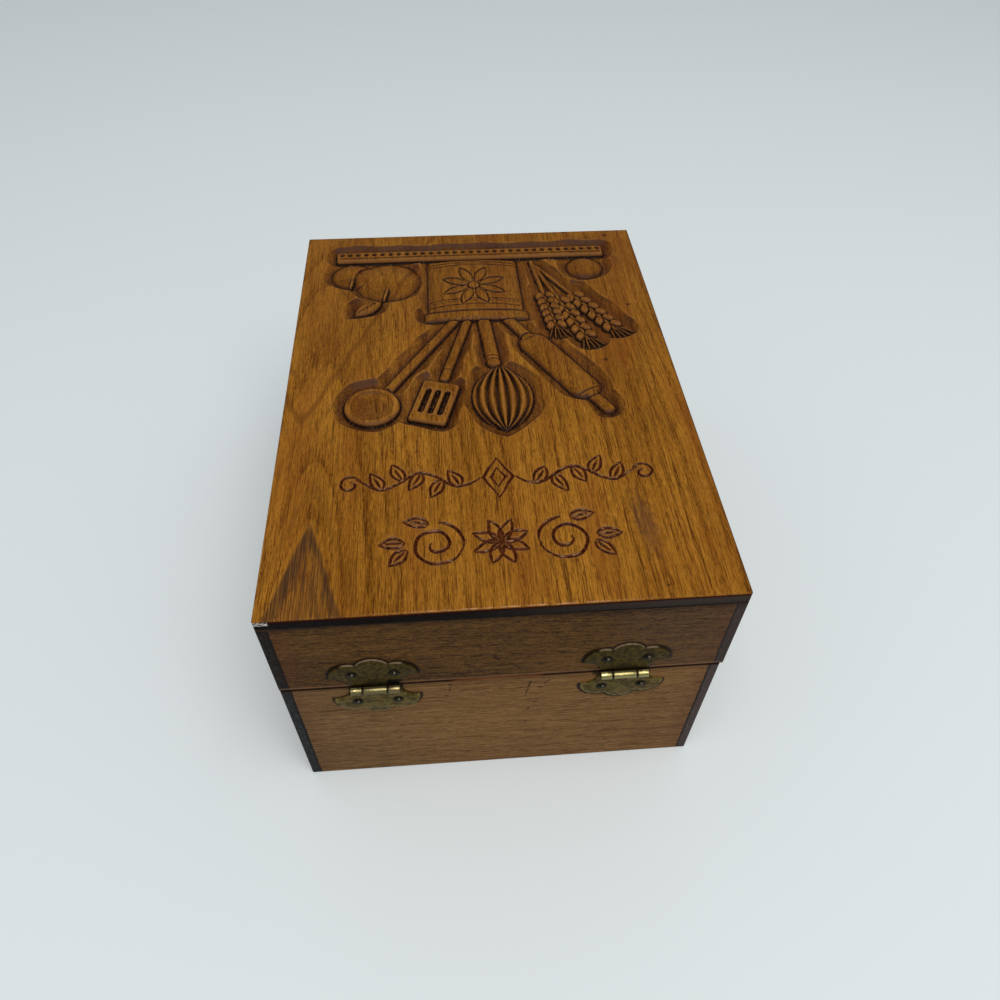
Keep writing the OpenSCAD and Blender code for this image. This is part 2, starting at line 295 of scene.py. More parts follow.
lamp_data = bpy.data.lights.new("sky_lamp", "AREA")
lamp_data.size = 1.3
lamp_data.energy = 18
lamp_data.color = (1.0, 0.98, 0.95)
lamp = aimed("sky_lamp", lamp_data, lamp_place, lamp_target - lamp_place)
print("lit by", lamp.name, "and the world")


# %% [markdown]
# ## Wood
# The boards are an open-grained hardwood under a brown stain. A board is a slice of a tree, so the
# figure on its face is where that slice cuts the growth rings: nearly straight lines far from the
# heart, and nested arches where the slice passes close to it. We build the rings as distance from a
# slightly leaning line in the board, then add what the eye reads as wood: fibres, and pores that
# the stain has filled, longest along the grain and thickest at the start of each ring.


# %% Wood figure
class Wood:
    """The figure of one board. A place runs along the grain, across it, and deep into the board."""

    def __init__(self, nodes, place, heart, lean, ring, seed):
        along, across, deep = place
        self.nodes = nodes
        self.place = (along + seed * 37.0, across, deep + seed * 11.0)
        wander = self.noise(0.011, 0.03, 0.02, detail=3) - 0.5
        side = across - heart[0] + wander * 10.0
        depth = heart[1] - along * lean + wander * 3.0
        from_heart = apart(side, depth)
        uneven = nodes.noise(from_heart * 0.09, seed, 0.0, detail=0) * 2.2
        share = (from_heart / ring + uneven).fraction()
        self.ring = share.step(0.55, 0.0) * share.step(0.0, 0.05)
        self.fibre = self.noise(0.22, 5.0, 5.0)
        self.band = self.noise(0.02, 0.7, 0.4)
        self.streak = self.noise(0.3, 1.7, 1.7, detail=3, roughness=0.7)
        self.speck = self.noise(0.8, 2.6, 2.6, roughness=0.7)
        self.cloud = self.noise(0.012, 0.05, 0.05, detail=1)

    def noise(self, along, across, deep, detail=2, roughness=0.5):
        """Noise that changes so many times in a millimetre, each way."""
        place = [value * rate for value, rate in zip(self.place, (along, across, deep))]
        return self.nodes.noise(*place, detail=detail, roughness=roughness)

    def pores(self, thick, length, share, bound=0.45):
        """Short dark pores. Thick and length are in millimetres, and share is how much they fill."""
        grain = self.noise(1 / length, 1 / thick, 1 / thick, detail=1)
        crowd = self.ring * bound + (1.0 - bound)
        return grain.step(1.0 - share, 1.06 - share) * crowd

    def stain(self, dark, light, pore, cloud=0.8, streak=0.6, speck=0.0, ring=0.12, long=16.0):
        """Makes stained wood the material's body colour, and returns how much of it is pore."""
        tone = (self.band - 0.5) * 0.7 + (self.fibre - 0.5) * 1.7 + (self.cloud - 0.5) * cloud
        tone = tone + (self.streak - 0.5) * streak + (self.speck - 0.5) * speck - self.ring * ring + 0.6
        self.nodes.body = self.nodes.blend(tone, dark, light)
        filled = self.pores(0.28, 2.4, 0.41).most(self.pores(0.32, 5.5, 0.38))
        filled = filled.most(self.pores(0.33, long, 0.42, bound=0.25))
        self.nodes.cover(filled * 0.82, pore)
        return filled


print("wood figure ready")

# %% [markdown]
# ## Stain, grime and painted shade
# Stain sinks into pores and end grain and turns them dark. Grime gathers where a cloth can't reach,
# along the rim of each hinge, and painted shade is laid with it there. The outline of a hinge leaf
# is made of circles, so this grime and painted shade is a thin dark line along the distance to them.

# %% Hinge places
pin_low, pin_high = box_mm("right_hinge_pin")
left_pin, right_pin = sum(box_mm("left_hinge_pin")) / 2, (pin_low + pin_high) / 2
pin_y, pin_z = right_pin[1:]
pair_middle = (left_pin[0] + right_pin[0]) / 2
pair_half = (right_pin[0] - left_pin[0]) / 2
leaf_rise = float(box_mm("right_hinge_lid_leaf")[1][2] - pin_z)
lobe = (0, leaf_rise - 5.8, 5.8)
wing = (7.6, 7.6, 6.6)
scoop = (13.4, 1.5, 5.3)
print(f"hinges {2 * pair_half:.1f} mm apart, pins at z = {pin_z:.2f} mm")
print("circles of a leaf, as x, z and radius:", lobe, wing, scoop)


# %% Grime and painted shade helpers
def near(value, middle, reach, soft):
    """1 where the value lies within reach of the middle, falling to 0 over a soft edge."""
    return abs(value - middle).step(reach + soft, reach)


def past(circle, x, z):
    """How far outside a circle a point lies, below zero inside it."""
    return apart(x - circle[0], z - circle[1]) - circle[2]


def hinge_grime_and_painted_shade(nodes, x, y, z):
    """Grime with painted shade in a thin dark line round the lobes of both hinges, a painted
    shadow under their barrels, and a dark spot beside one barrel.
    """
    from_hinge = abs(abs(x - pair_middle) - pair_half)
    rise = abs(z - pin_z) - z.step(pin_z, pin_z - 2.0) * x.step(5.0, -5.0) * 0.8
    ragged = nodes.noise(x * 0.9, 0.0, z * 0.9) - 0.5
    outside = past(lobe, from_hinge, rise).least(past(wing, from_hinge, rise)) + ragged * 0.7
    # Painted shade mixed with grime, just outside the lobes.
    line = outside.step(1.4, 0.5) * (1.0 - past(scoop, from_hinge, rise).step(-0.2, -0.9))
    behind = from_hinge.step(9.5, 8.5) * rise.step(3.2, 2.0)
    spot = apart(x - left_pin[0] - 9.3, (z - pin_z) * 0.6).step(2.0, 0.8)
    return line.most(behind).most(spot) * y.step(half_depth - 1.0, half_depth - 0.5)


print("grime helpers ready")

# %% Scratches
# Each one runs from x and z to x and z on the back, and its last number is half its width.
scratch_list = (
    (3.4, 79.7, 1.9, 77.2, 0.4), (-1.8, 74.6, -4.7, 71.6, 0.3), (8.4, 86.0, 7.8, 86.1, 0.4),
    (-9.2, 61.2, -8.6, 57.8, 0.3), (-8.4, 56.6, -7.6, 51.5, 0.15), (-12.2, 57.2, -13.1, 56.6, 0.25),
    (-13.9, 59.4, -15.5, 61.5, 0.2), (-10.5, 46.5, -11.7, 47.0, 0.25), (-8.8, 41.5, -9.2, 42.4, 0.25),
    (18.1, 62.2, 17.1, 62.4, 0.35), (19.8, 55.1, 18.8, 55.4, 0.35), (18.1, 58.5, 17.7, 60.7, 0.25),
)


def scratch(x, z, start_x, start_z, end_x, end_z, half):
    """1 on a thin scratch between two places."""
    run, rise = end_x - start_x, end_z - start_z
    share = ((x - start_x) * run + (z - start_z) * rise) / (run * run + rise * rise)
    share = share.most(0.0).least(1.0)
    away = apart(x - start_x - share * run, z - start_z - share * rise)
    return away.step(half + 0.35, half - 0.1)


def back_scratches(wood, x, y, z):
    """All the scratches, bent by the grain and broken where the tool jumped."""
    bent_x = x + (wood.streak - 0.5) * 1.2
    bent_z = z + (wood.speck - 0.5) * 1.2
    marks = reduce(Signal.most, [scratch(bent_x, bent_z, *line) for line in scratch_list])
    return marks * (wood.speck.step(0.38, 0.56) * 0.65 + 0.2) * y.step(half_depth - 1.0, half_depth)


print(len(scratch_list), "scratches")

# %% [markdown]
# ## Wood of the walls
# The walls were stained darker than the top, and the sawn ends of the side boards drank so much
# stain that they are nearly black. Those ends show as two dark strips up the back of the box.
# Painted shade darkens the line where base and lid meet, and the edge above it is lighter, partly
# from wear and partly a painted highlight.


# %% Ends and seam
def lay_ends(nodes, x, y, z, back, lip_x, lip_edge, worn):
    """Nearly black end grain outside the lip's edge. Lip_x is measured from the wall's middle."""
    ragged = (nodes.noise(x * 0.35, y * 0.35, z * 0.35, detail=4) - 0.5) * 0.7
    past_lip = lip_x + ragged - lip_edge
    mottle = nodes.noise(x * 2.0, y * 2.0, z * 0.5, detail=3).step(0.45, 0.7)
    black, brown, greyed = worn
    end_tone = nodes.blend(mottle, black, brown)
    end_tone = nodes.blend(x.step(20.0, -60.0) * (mottle * 0.3 + 0.6), end_tone, greyed)
    nodes.cover(back * past_lip.step(-9.0, -0.5) * 0.22, (84, 36, 24))
    nodes.cover(back * past_lip.step(-0.5, 0.1), end_tone)
    nodes.cover(back * near(past_lip, 0.0, 0.2, 0.35) * 0.8, (14, 8, 6))


def lay_shadows(nodes, x, z, back):
    """Dust on one end of the rail; painted shade under the lid, under the top board and along one
    end of the base; and a lighter edge above the seam, partly wear and partly a painted highlight.
    """
    nodes.cover(x.step(-20.0, -50.0) * z.step(rim_height, lid_foot) * back * 0.15, (84, 70, 66))
    under = z.step(rim_height - 4.0, rim_height) * z.step(rim_height + 0.2, rim_height)
    nodes.cover(under * 0.3, (50, 28, 10))
    nodes.shade(z.step(board_underside - 3.0, board_underside) * back, (0.62, 0.58, 0.5))
    # Painted shade along one end of the base, where the light falls off.
    nodes.shade(x.step(5.0, 60.0) * z.step(lid_foot, rim_height) * back, (0.86, 0.91, 1.0))
    # A lighter edge above the seam: partly wear, partly a painted highlight.
    nodes.cover(near(z, lid_foot + 1.1, 0.25, 0.35) * back * 0.4, (136, 96, 66))


def lay_seam(nodes, x, y, z, back, lip_x, lip_edge):
    """Painted shade along the seam between base and lid, redder in the middle of the back."""
    seam = z.step(lid_foot + 0.75, lid_foot + 0.35) * z.step(rim_height - 0.65, rim_height - 0.25)
    side_face = lip_edge + side_lip
    outer = abs(y).step(half_depth - 0.7, half_depth - 0.4)
    outer = outer.most(lip_x.step(side_face - 0.7, side_face - 0.4))
    reddish = near(x, 2.0, 12.0, 4.0) * back
    tone = nodes.blend(reddish, (26, 10, 4), (110, 46, 26))
    # Painted shade on the arrises beside the seam's gap.
    nodes.cover(seam * outer * (0.9 - reddish * 0.5), tone)


print(f"strips of end grain {side_lip:.1f} mm wide on the base")


# %% Wall woods
def wall_wood(name, crosswise, seed, end_board, stain, worn):
    """Stained wood for walls that run crosswise, or from front to back."""
    nodes = Nodes(name)
    end_low, end_high = box_mm(end_board)
    x, y, z = nodes.position()
    lip_x = abs(x - (end_low[0] + end_high[0]) / 2)
    lip_edge = (end_high[0] - end_low[0]) / 2
    if crosswise:
        wood = Wood(nodes, (x, z, y), heart=(-30.0, 55.0), lean=0.1, ring=3.4, seed=seed)
    else:
        wood = Wood(nodes, (y, z, x), heart=(150.0, 30.0), lean=0.08, ring=3.2, seed=seed)
    filled = wood.stain(**stain)
    back = abs(y).step(half_depth - 1.4, half_depth - 0.5)
    lay_ends(nodes, x, y, z, back, lip_x, lip_edge, worn)
    # Grime and painted shade round both hinges.
    nodes.cover(hinge_grime_and_painted_shade(nodes, x, y, z) * 0.9, (18, 9, 5))
    if crosswise:
        nodes.cover(back_scratches(wood, x, y, z), (26, 12, 4))
    lay_shadows(nodes, x, z, back)
    lay_seam(nodes, x, y, z, back, lip_x, lip_edge)
    bump = nodes.bump(wood.fibre * 0.35 - filled, 0.05)
    return nodes.finish(Roughness=filled * 0.12 + 0.5, Specular_IOR_Level=0.05, Normal=bump)


rail_stain = {"dark": (44, 25, 6), "light": (108, 73, 30), "pore": (22, 9, 2)}
rail_stain.update({"streak": 1.6, "speck": 2.2, "long": 7.0})
rail_worn = (24, 18, 14), (44, 35, 29), (64, 52, 47)
rail_finish = {"end_board": "lid_back_rail", "stain": rail_stain, "worn": rail_worn}
wall_stain = {"dark": (94, 62, 29), "light": (139, 101, 57), "pore": (62, 35, 12)}
wall_stain.update({"streak": 1.2, "speck": 0.8})
wall_worn = (34, 32, 31), (56, 54, 53), (82, 67, 62)
wall_finish = {"end_board": "base_back_board", "stain": wall_stain, "worn": wall_worn}
walls = (
    ("lid_wood_ends", True, rail_finish, ("lid_back_rail", "lid_front_rail")),
    ("lid_wood_sides", False, rail_finish, ("lid_left_rail", "lid_right_rail")),
    ("base_wood_ends", True, wall_finish, ("base_back_board", "base_front_board", "bottom_panel")),
    ("base_wood_sides", False, wall_finish, ("base_left_side", "base_right_side")),
)
for seed, (name, crosswise, finish, pieces) in enumerate(walls, 1):
    material = wall_wood(name, crosswise, seed, **finish)
    for piece in pieces:
        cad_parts[piece].material_slots[0].material = material
    print(name, "on", ", ".join(pieces))

# %% [markdown]
# ## Wood of the top
# The top is the show board: a warmer, glossier stain over straight grain, with the tips of growth
# arches at one corner and a grey-brown flame inside them. It has one knot, and dents and stains.

# %% Top wood
nodes = Nodes("top_wood")
x, y, z = nodes.position()
wood = Wood(nodes, (y, x, z), heart=(60.0, 20.0), lean=0.12, ring=4.4, seed=0)
dark, light, pore = (105, 60, 2), (171, 115, 36), (60, 26, 3)
filled = wood.stain(dark, light, pore, cloud=0.9, ring=0.25, speck=0.5, long=13.0)
warm = nodes.noise(x * 0.07, y * 0.01, 2.0, detail=3).step(0.46, 0.64)
nodes.cover(warm * (x.step(20.0, -40.0) * 0.15 + 0.3), (120, 64, 16))
print("stained the top from", dark, "to", light)


# %% Growth arches
def arch(tip_x, tip_y, slope, turn):
    """Millimetres along the grain past an arch. Turn is 1 when its legs run to the back."""
    across = (x - tip_x) * slope
    wander = (nodes.noise(x * 0.25, y * 0.05, tip_y, detail=3) - 0.5) * 9.0
    return (y - tip_y) * turn - (across * across + 12.0).root() + wander


lines = nodes.noise(x * 2.2, y * 0.05, 0.0, detail=1).step(0.44, 0.6)
flame = arch(59.2, 65.0, 3.3, 1)
leg = x.step(56.5, 61.0) * 7.0 + 3.0
dark_leg = flame.step(-2.0, 2.0) * (flame - leg).step(7.0, 0.0)
nodes.cover(flame.step(-1.0, 5.0) * (lines * 0.6 + 0.22), (76, 49, 27))
nodes.cover(dark_leg * (lines * 0.4 + 0.45), (64, 42, 25))
nodes.cover(near(flame, -17.0, 1.0, 5.0) * 0.35, (104, 64, 14))
valley = arch(66.3, 22.0, 2.5, -1)
nodes.cover(near(valley, 0.0, 0.8, 3.6) * 0.55, (92, 52, 12))
nodes.cover(near(valley, 17.0, 0.5, 4.0) * 0.3, (98, 58, 12))
nodes.cover(near(valley, -15.0, 0.5, 4.5) * 0.25, (98, 58, 12))
print("two sets of growth arches")


# %% Knot, dents and stains
def oval(middle_x, middle_y, half_x, half_y, lean=0.0):
    """0 in the middle of an oval that leans with the grain, and 1 at its rim."""
    return apart((x - middle_x + (y - middle_y) * lean) / half_x, (y - middle_y) / half_y)


from_knot = oval(-53, -91, 1, 1 / 1.1) + (nodes.noise(x * 0.3, y * 0.3, 9.0, detail=3) - 0.5) * 3.5
knot_rings = near((from_knot / 2.6).fraction(), 0.5, 0.12, 0.3)
nodes.cover(from_knot.step(11.0, 7.0) * knot_rings * 0.45, (90, 52, 18))

dent_list = (
    (-62.4, -98.8, 1.1), (-63.5, -44.0, 0.9), (-48.2, -8.4, 0.9),
    (44.1, -53.4, 0.8), (-49.3, 98.7, 0.45), (-43.9, -103.0, 1.0),
)
ragged = nodes.noise(x * 0.7, y * 0.7, 3.0) - 0.5
dents = [(past(dent, x, y) + ragged * 1.2).step(0.35, -0.3) for dent in dent_list]
nodes.cover(reduce(Signal.most, dents) * 0.8, (40, 20, 10))
smudge = oval(-47.16, 74, 4.6, 17, lean=0.08) + ragged * 1.2
nodes.cover(smudge.step(1.0, 0.3) * (lines * 0.3 + 0.4), (90, 58, 36))
blotch = oval(-64, -77, 3.4, 7, lean=0.2) + ragged * 2.4
nodes.cover(blotch.step(1.1, 0.3) * 0.35, (86, 50, 26))
# Darker towards the far end of the board.
nodes.cover(y.step(60.0, -110.0) * 0.3, (96, 54, 10))
print("marks:", len(dent_list), "dents, a knot, a smudge and a blotch")

# %% [markdown]
# The carving carries its own tone: stain pools in the cuts, and painted shade darkens them as well.
# The mesh brings that as attributes: how deep a point lies, how hollow its surroundings are, how
# steeply the grain is cut, and where the ornament was cut. The ground goes darkest, partly stain and
# partly painted shade; crests that hands touch stay light, partly wear and partly a painted
# highlight; and painted glints sit in the hollows and along the ornament's cuts.

# %% Tone of the carving
layers = ("depth", "hollow_near", "hollow_wide", "ornament", "end_grain", "crest")
sunk, hollow, wide, ornament, steep, crest = [nodes.attribute(layer) for layer in layers]
ground = sunk.step(0.9, 2.3) * wide.step(0.0, 0.7)
# Darker with depth and in the ground: partly stain pooled there, partly painted shade.
nodes.shade(sunk.step(0.1, 0.5), (0.88, 0.86, 0.92))
nodes.shade(sunk.step(0.6, 2.2), (0.8, 0.77, 0.9))
nodes.shade(ground, (0.66, 0.62, 1.0))
nodes.shade(wide.step(0.15, 1.0), (0.68, 0.64, 0.85))
nodes.cover(steep.step(0.25, 0.8) * 0.75, (62, 36, 26))
patches = nodes.noise(x * 0.5, y * 0.3, 6.0, detail=4, roughness=0.65).step(0.5, 0.7)
nodes.cover(sunk.step(0.15, 0.5) * patches * 0.35, (70, 38, 14))
# Lighter crests: partly wear, partly a painted highlight.
nodes.cover(crest.step(0.03, 0.16) * sunk.step(1.9, 1.0) * 0.4, (164, 110, 52))
# Nearly black in tight hollows: stain pooled in the cuts and painted shade at each form's foot.
nodes.cover(hollow.step(0.03, 0.17) * 0.95, (22, 10, 5))
# Painted glints: small pale flecks in the hollows.
hollow_glint = nodes.noise(x * 1.7, y * 1.7, 5.0, detail=1).step(0.66, 0.72) * hollow.step(0.05, 0.16)
nodes.cover(hollow_glint * 0.4, (160, 130, 104))
uneven = nodes.noise(x * 0.8, y * 0.8, 1.0).step(0.4, 0.6)
nodes.cover(ornament.step(0.05, 0.4) * 0.93, nodes.blend(uneven, (46, 15, 3), (84, 36, 10)))
glint = nodes.noise(x * 0.4, y * 0.9, 8.0).step(0.5, 0.62) * steep.step(0.5, 1.0)
nodes.cover(glint * near(ornament, 0.35, 0.1, 0.12) * 0.42, (204, 158, 112))
print("carving's tones: ground, crests, hollows and cuts")

# %% [markdown]
# At its two ends the board shows end grain, stained nearly black along its foot. The arris above it
# is worn to bare wood in the middle, and a chip at one corner has lost its stain.

# %% Ends and edges of the top
ragged = (nodes.noise(x * 0.15, 0.0, z * 0.5, detail=4) - 0.5) * 2.0
end = abs(y).step(half_depth - 0.4, half_depth - 0.15) * z.step(lid_face - 0.3, lid_face - 0.7)
black = (z + ragged - x.step(-40.0, 73.0) * 0.7).step(board_underside - 0.4, board_underside + 0.4)
greyed = x.step(20.0, -60.0) * near(z, board_underside + 2.4, 1.3, 0.7)
mottle = nodes.noise(x * 1.6, y * 1.6, z * 1.6, detail=3).step(0.5, 0.8)
end_tone = nodes.blend(greyed * 0.8, nodes.blend(mottle, (10, 4, 2), (28, 17, 9)), (66, 54, 48))
end_tone = nodes.blend(z.step(lid_face - 1.7, lid_face - 1.0) * 0.7, end_tone, (52, 10, 7))
nodes.cover(end, nodes.blend(black, (62, 42, 27), end_tone))
nodes.cover(x.step(board_left + 1.0, board_left + 0.3) * 0.5, (50, 26, 8))
worn = abs(y).step(half_depth - 0.5, half_depth - 0.38) * z.step(lid_face - 0.6, lid_face - 0.45)
worn = worn * abs(y).step(half_depth - 0.1, half_depth - 0.25)
lightened = nodes.noise(x * 0.25, y, 0.0, detail=4).step(0.4, 0.6) * x.step(50.0, 0.0) * x.step(-50.0, -10.0)
nodes.cover(worn * lightened * 0.65, (206, 160, 130))
chip = near(x, 70.9, 2.0, 0.5) * near(z, 104.9, 0.7, 0.3) * y.step(half_depth - 0.8, half_depth - 0.4)
flaked = nodes.noise(x * 0.9, 0.0, z * 2.6 + x * 0.6, detail=3).step(0.47, 0.52)
nodes.cover(chip, nodes.blend(flaked, (20, 12, 10), (200, 194, 190)))
print("ends stained, top wood has", len(nodes.tree.nodes), "nodes so far")

# %% Sheen of the top
sheen = {"Coat_Weight": (1.0 - end) * 0.1, "Coat_Roughness": 0.36, "Specular_IOR_Level": 0.02}
bump = nodes.bump(wood.fibre * 0.3 - filled, 0.045)
top_wood = nodes.finish(Roughness=filled * 0.1 + 0.5, Normal=bump, **sheen)
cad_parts["lid_top_board"].material_slots[0].material = top_wood
print("top wood has", len(nodes.tree.nodes), "nodes")

# %% [markdown]
# ## The carved lid
# On the real lid a picture is cut in low relief: the carver lowers the ground round the forms with
# gouges, then rounds each form down to it. We do the same with a height map, which says how deep the
# surface lies at each point. Every form is a distance to an outline, below zero inside it, so that
# one rule can round any form, whatever its outline, and cut a dark line round its foot.
#
# The picture is a kitchen still life: a jar of tools on a moulded shelf, with apples, an egg and
# ears of wheat. It is laid out in units of 1.2 mm, upright when seen from the front.

# %% Grid of the height map
unit = 1.2
picture_foot = board_low[1] + 11.6
ground_depth = 2.4
ground_margin = 4.2
map_step = 0.2

map_x = np.arange(board_left, board_right + map_step, map_step)
map_y = np.arange(-half_depth, half_depth + map_step, map_step)
grid_x, grid_y = np.meshgrid(map_x, map_y)
carve_y = grid_y - picture_foot
# Hand is the slow unevenness that a cutting hand leaves, from 0 to 1.
hand = np.sin(grid_x * 0.31 + 2.0 * np.sin(grid_y * 0.17))
hand = 0.5 + 0.5 * hand * np.sin(grid_y * 0.23 + 1.5 * np.sin(grid_x * 0.13))
print("height map of", grid_x.shape, "points")


# %% Outlines as distances
def beside(middle):
    """Place in millimetres, measured from a middle that is given in units of the picture."""
    return grid_x - middle[0] * unit, carve_y - middle[1] * unit


def along_line(start, end):
    """Place along and across a line in millimetres, measured from its start, and its length."""
    run, rise = np.subtract(end, start) * unit
    length = math.hypot(run, rise)
    run, rise = run / length, rise / length
    x, y = beside(start)
    return x * run + y * rise, y * run - x * rise, length


def turned(middle, turn):
    """Place in a frame that is centred on the middle and turned by an angle in degrees."""
    x, y = beside(middle)
    c, s = math.cos(math.radians(turn)), math.sin(math.radians(turn))
    return x * c + y * s, y * c - x * s


def bar(start, end, half):
    along, across, length = along_line(start, end)
    return np.hypot(along - np.clip(along, 0, length), across) - half * unit


def disc(middle, radius):
    return np.hypot(*beside(middle)) - radius * unit


def plate(middle, half, turn=0, corner=1.6):
    x, y = turned(middle, turn)
    dx = abs(x) - half[0] * unit + corner
    dy = abs(y) - half[1] * unit + corner
    return np.hypot(dx.clip(0), dy.clip(0)) + np.maximum(dx, dy).clip(max=0) - corner


def lens(start, end, half):
    along, across, length = along_line(start, end)
    bulge = half * unit
    radius = ((length / 2) ** 2 + bulge ** 2) / (2 * bulge)
    return np.hypot(along - length / 2, abs(across) + radius - bulge) - radius


print(f"a disc of 5 units is {-disc((0, 24), 5).min():.1f} mm from its middle to its edge")

# %% The picture's outlines
jar_middle, jar_half = (0, 24), (16.5, 17)
jar = np.maximum(plate(jar_middle, jar_half), disc(jar_middle, 23))
rim = plate((0, 41.5), (18, 2.5))
shelf = plate((0, 3.25), (50, 3.25))
whisk_wires = lens((-5.6, 69), (-5.6, 99), 9.5)
whisk_line = (-2, 41), (-4, 67)
whisk_grip = bar(*whisk_line, 2.3)
roller_line = (-18.5, 57.6), (-31.5, 80.4)
roller = bar(*roller_line, 5.4)
roller_grips = [bar((-9, 41), (-16, 53.3), 2.2), bar((-34, 84.8), (-37.6, 91.1), 2.2)]
turner_line = (2.5, 41), (12.2, 74)
turner_handle = bar(*turner_line, 1.6)
blade_middle, blade_turn = (15.6, 85.6), -16.5
turner_blade = plate(blade_middle, (6, 9.5), blade_turn)
spoon_handle = bar((6, 41), (29.5, 78.2), 1.8)
bowl_radius = 8.6
spoon_bowl = disc((34.6, 86.2), bowl_radius)
apples = ((43.5, 14.4), 7.6), ((31, 18.5), 11.6)
leaf_line = (33, 31), (42, 39.4)
apple_leaf = lens(*leaf_line, 3)
egg = disc((-41.5, 13.4), 6.7)
ear_foot = np.array([-22, 9])
ear_tips = np.array([[-46.5, 51.5], [-36.5, 56.5], [-27, 50]])

picture = [jar, rim, shelf, whisk_wires, whisk_grip, roller, *roller_grips, turner_handle, turner_blade]
picture += [spoon_handle, spoon_bowl, apple_leaf, egg] + [disc(*apple) for apple in apples]
for tip in ear_tips:
    picture += [bar(ear_foot, tip, 0.9), bar(ear_foot + (tip - ear_foot) * 0.5, tip, 4.2)]
print("the picture has", len(picture), "outlines")

# %% The ground
wander = 0.45 * np.sin(grid_x * 0.33 + 1.4 * np.sin(grid_y * 0.19))
wander += 0.4 * np.sin(grid_y * 0.41 + grid_x * 0.13)
to_wall = np.minimum.reduce(picture) - ground_margin + wander
gouge = 0.22 * abs(np.sin(grid_x * 0.8 + 1.6 * np.sin(grid_y * 0.11) + 0.6 * np.sin(grid_y * 0.5)))
gouge *= 0.6 + 0.4 * np.sin(grid_y * 0.37 + 2.0 * np.sin(grid_x * 0.21))
dish = (-to_wall / 3.4).clip(0, 1)
height = -(ground_depth - 0.25) * np.sin(dish * math.pi / 2) - gouge * dish
height[to_wall >= 0] = 0.0
print(f"ground covers {(to_wall < 0).sum() * map_step ** 2 / 100:.0f} square cm")

# %% [markdown]
# A form is its outline, how deep its crown lies below the lid's face, over how many millimetres it
# rounds down at its edge, and how deep the line round its foot is cut. Forms are carved in order
# from the back of the picture to its front, each one into what is there already.


# %% Carving one form
def rounded(distance, width):
    """0 at the outline and 1 from a width inside it, along a quarter circle."""
    return np.sqrt(1 - (1 - (-distance / width).clip(0, 1)) ** 2)


def form(outline, crown, width, foot=0.5):
    """Rounds a form into the height map and cuts a line round it."""
    low = height - foot
    inside = low + (-crown - low) * rounded(outline, width)
    cut = foot * (0.85 + 0.3 * hand) * np.exp(-(outline.clip(0) / (0.5 + 0.2 * hand)) ** 2)
    height[:] = np.where(outline < 0, inside, height - cut)


def groove(line, half, depth, within):
    """Cuts a V where the line is zero, in the part of the map that within names."""
    height[:] -= depth * (1 - abs(line) / half).clip(0) * within


print("a form's edge a quarter, half and all the way in:", rounded(np.array([-0.25, -0.5, -1]), 1).round(2))

# %% Shelf and wheat
form(shelf, 0.3, 1.3, foot=0.9)
shelf_y = carve_y / unit
groove(shelf_y - 4.3, 0.5, 0.55, shelf < -1.2)
notch_x = (grid_x / 3.6 + 0.5) % 1 - 0.5
notch = (1 - np.hypot(notch_x * 3.6 / 1.25, (shelf_y - 2.1) / 1.25) ** 2).clip(0)
height -= 1.0 * notch ** 0.7 * (shelf < -1.0)

for tip in ear_tips:
    form(bar(ear_foot, tip, 0.9), 1.2, 1.0, foot=0.3)
    length = np.linalg.norm(tip - ear_foot)
    way = (tip - ear_foot) / length
    side_way = np.array([-way[1], way[0]])
    for spread in (-0.42, -0.2, 0, 0.2, 0.42):
        start = tip + side_way * spread * 4
        lean = way * math.cos(spread) + side_way * math.sin(spread)
        form(bar(start, start + lean * 5.2, 0.28), 1.1, 0.3, foot=0.15)
    for row in range(5, -1, -1):
        for side in (-1, 1):
            middle = tip - way * (row + 0.5) * length / 12 + side_way * side * 2.0
            lean = (way * 1.6 + side_way * side * 0.7) * 1.35
            form(lens(middle - lean, middle + lean, 1.5), 0.55, 1.3, foot=0.45)
print("shelf and wheat carved")

# %% Tools in the jar
form(whisk_wires, 1.35, 1.2, foot=0.6)
wire_radius = 19.9
wire_x, wire_y = beside((-5.6, 84))
wire_half = np.sqrt((wire_radius ** 2 - wire_y ** 2).clip(1)) - wire_radius + 11.4
ridge = (0.5 + 0.5 * np.cos(6 * math.pi * wire_x / wire_half.clip(0.5))) ** 1.2
height += (1.7 * ridge * rounded(whisk_wires, 0.8) - 0.85) * (whisk_wires < -0.1)
form(whisk_grip, 0.7, 2.4, foot=0.6)
for ring in (27.5, 29.5):
    groove(along_line(*whisk_line)[0] - ring, 0.6, 0.5, whisk_grip < -0.2)

for grip in roller_grips:
    form(grip, 0.8, 2.4, foot=0.6)
form(roller, 0.4, 5.0, foot=0.9)
roller_along, _, roller_length = along_line(*roller_line)
for ring in (-3.2, roller_length + 3.2):
    groove(roller_along - ring, 0.6, 0.5, roller < -0.4)

form(turner_handle, 0.9, 1.8, foot=0.6)
groove(along_line(*turner_line)[0] - 36, 0.6, 0.5, turner_handle < -0.2)
form(turner_blade, 0.5, 1.0, foot=0.8)
blade_x, blade_y = turned(blade_middle, blade_turn)
for slot_x in (-3, 0, 3):
    slot = np.hypot(blade_x - slot_x * unit, (abs(blade_y) - 5.6).clip(0)) - 0.85
    height = np.where(slot < 0.35, -2.5 + 1.9 * (slot / 0.35).clip(0, 1), height)

form(spoon_handle, 0.8, 2.0, foot=0.6)
form(spoon_bowl, 0.45, 1.7, foot=0.7)
scooped = (1 - ((spoon_bowl + bowl_radius * unit) / (6.7 * unit)) ** 2).clip(0)
height -= 1.9 * scooped ** 0.7
print("tools carved")

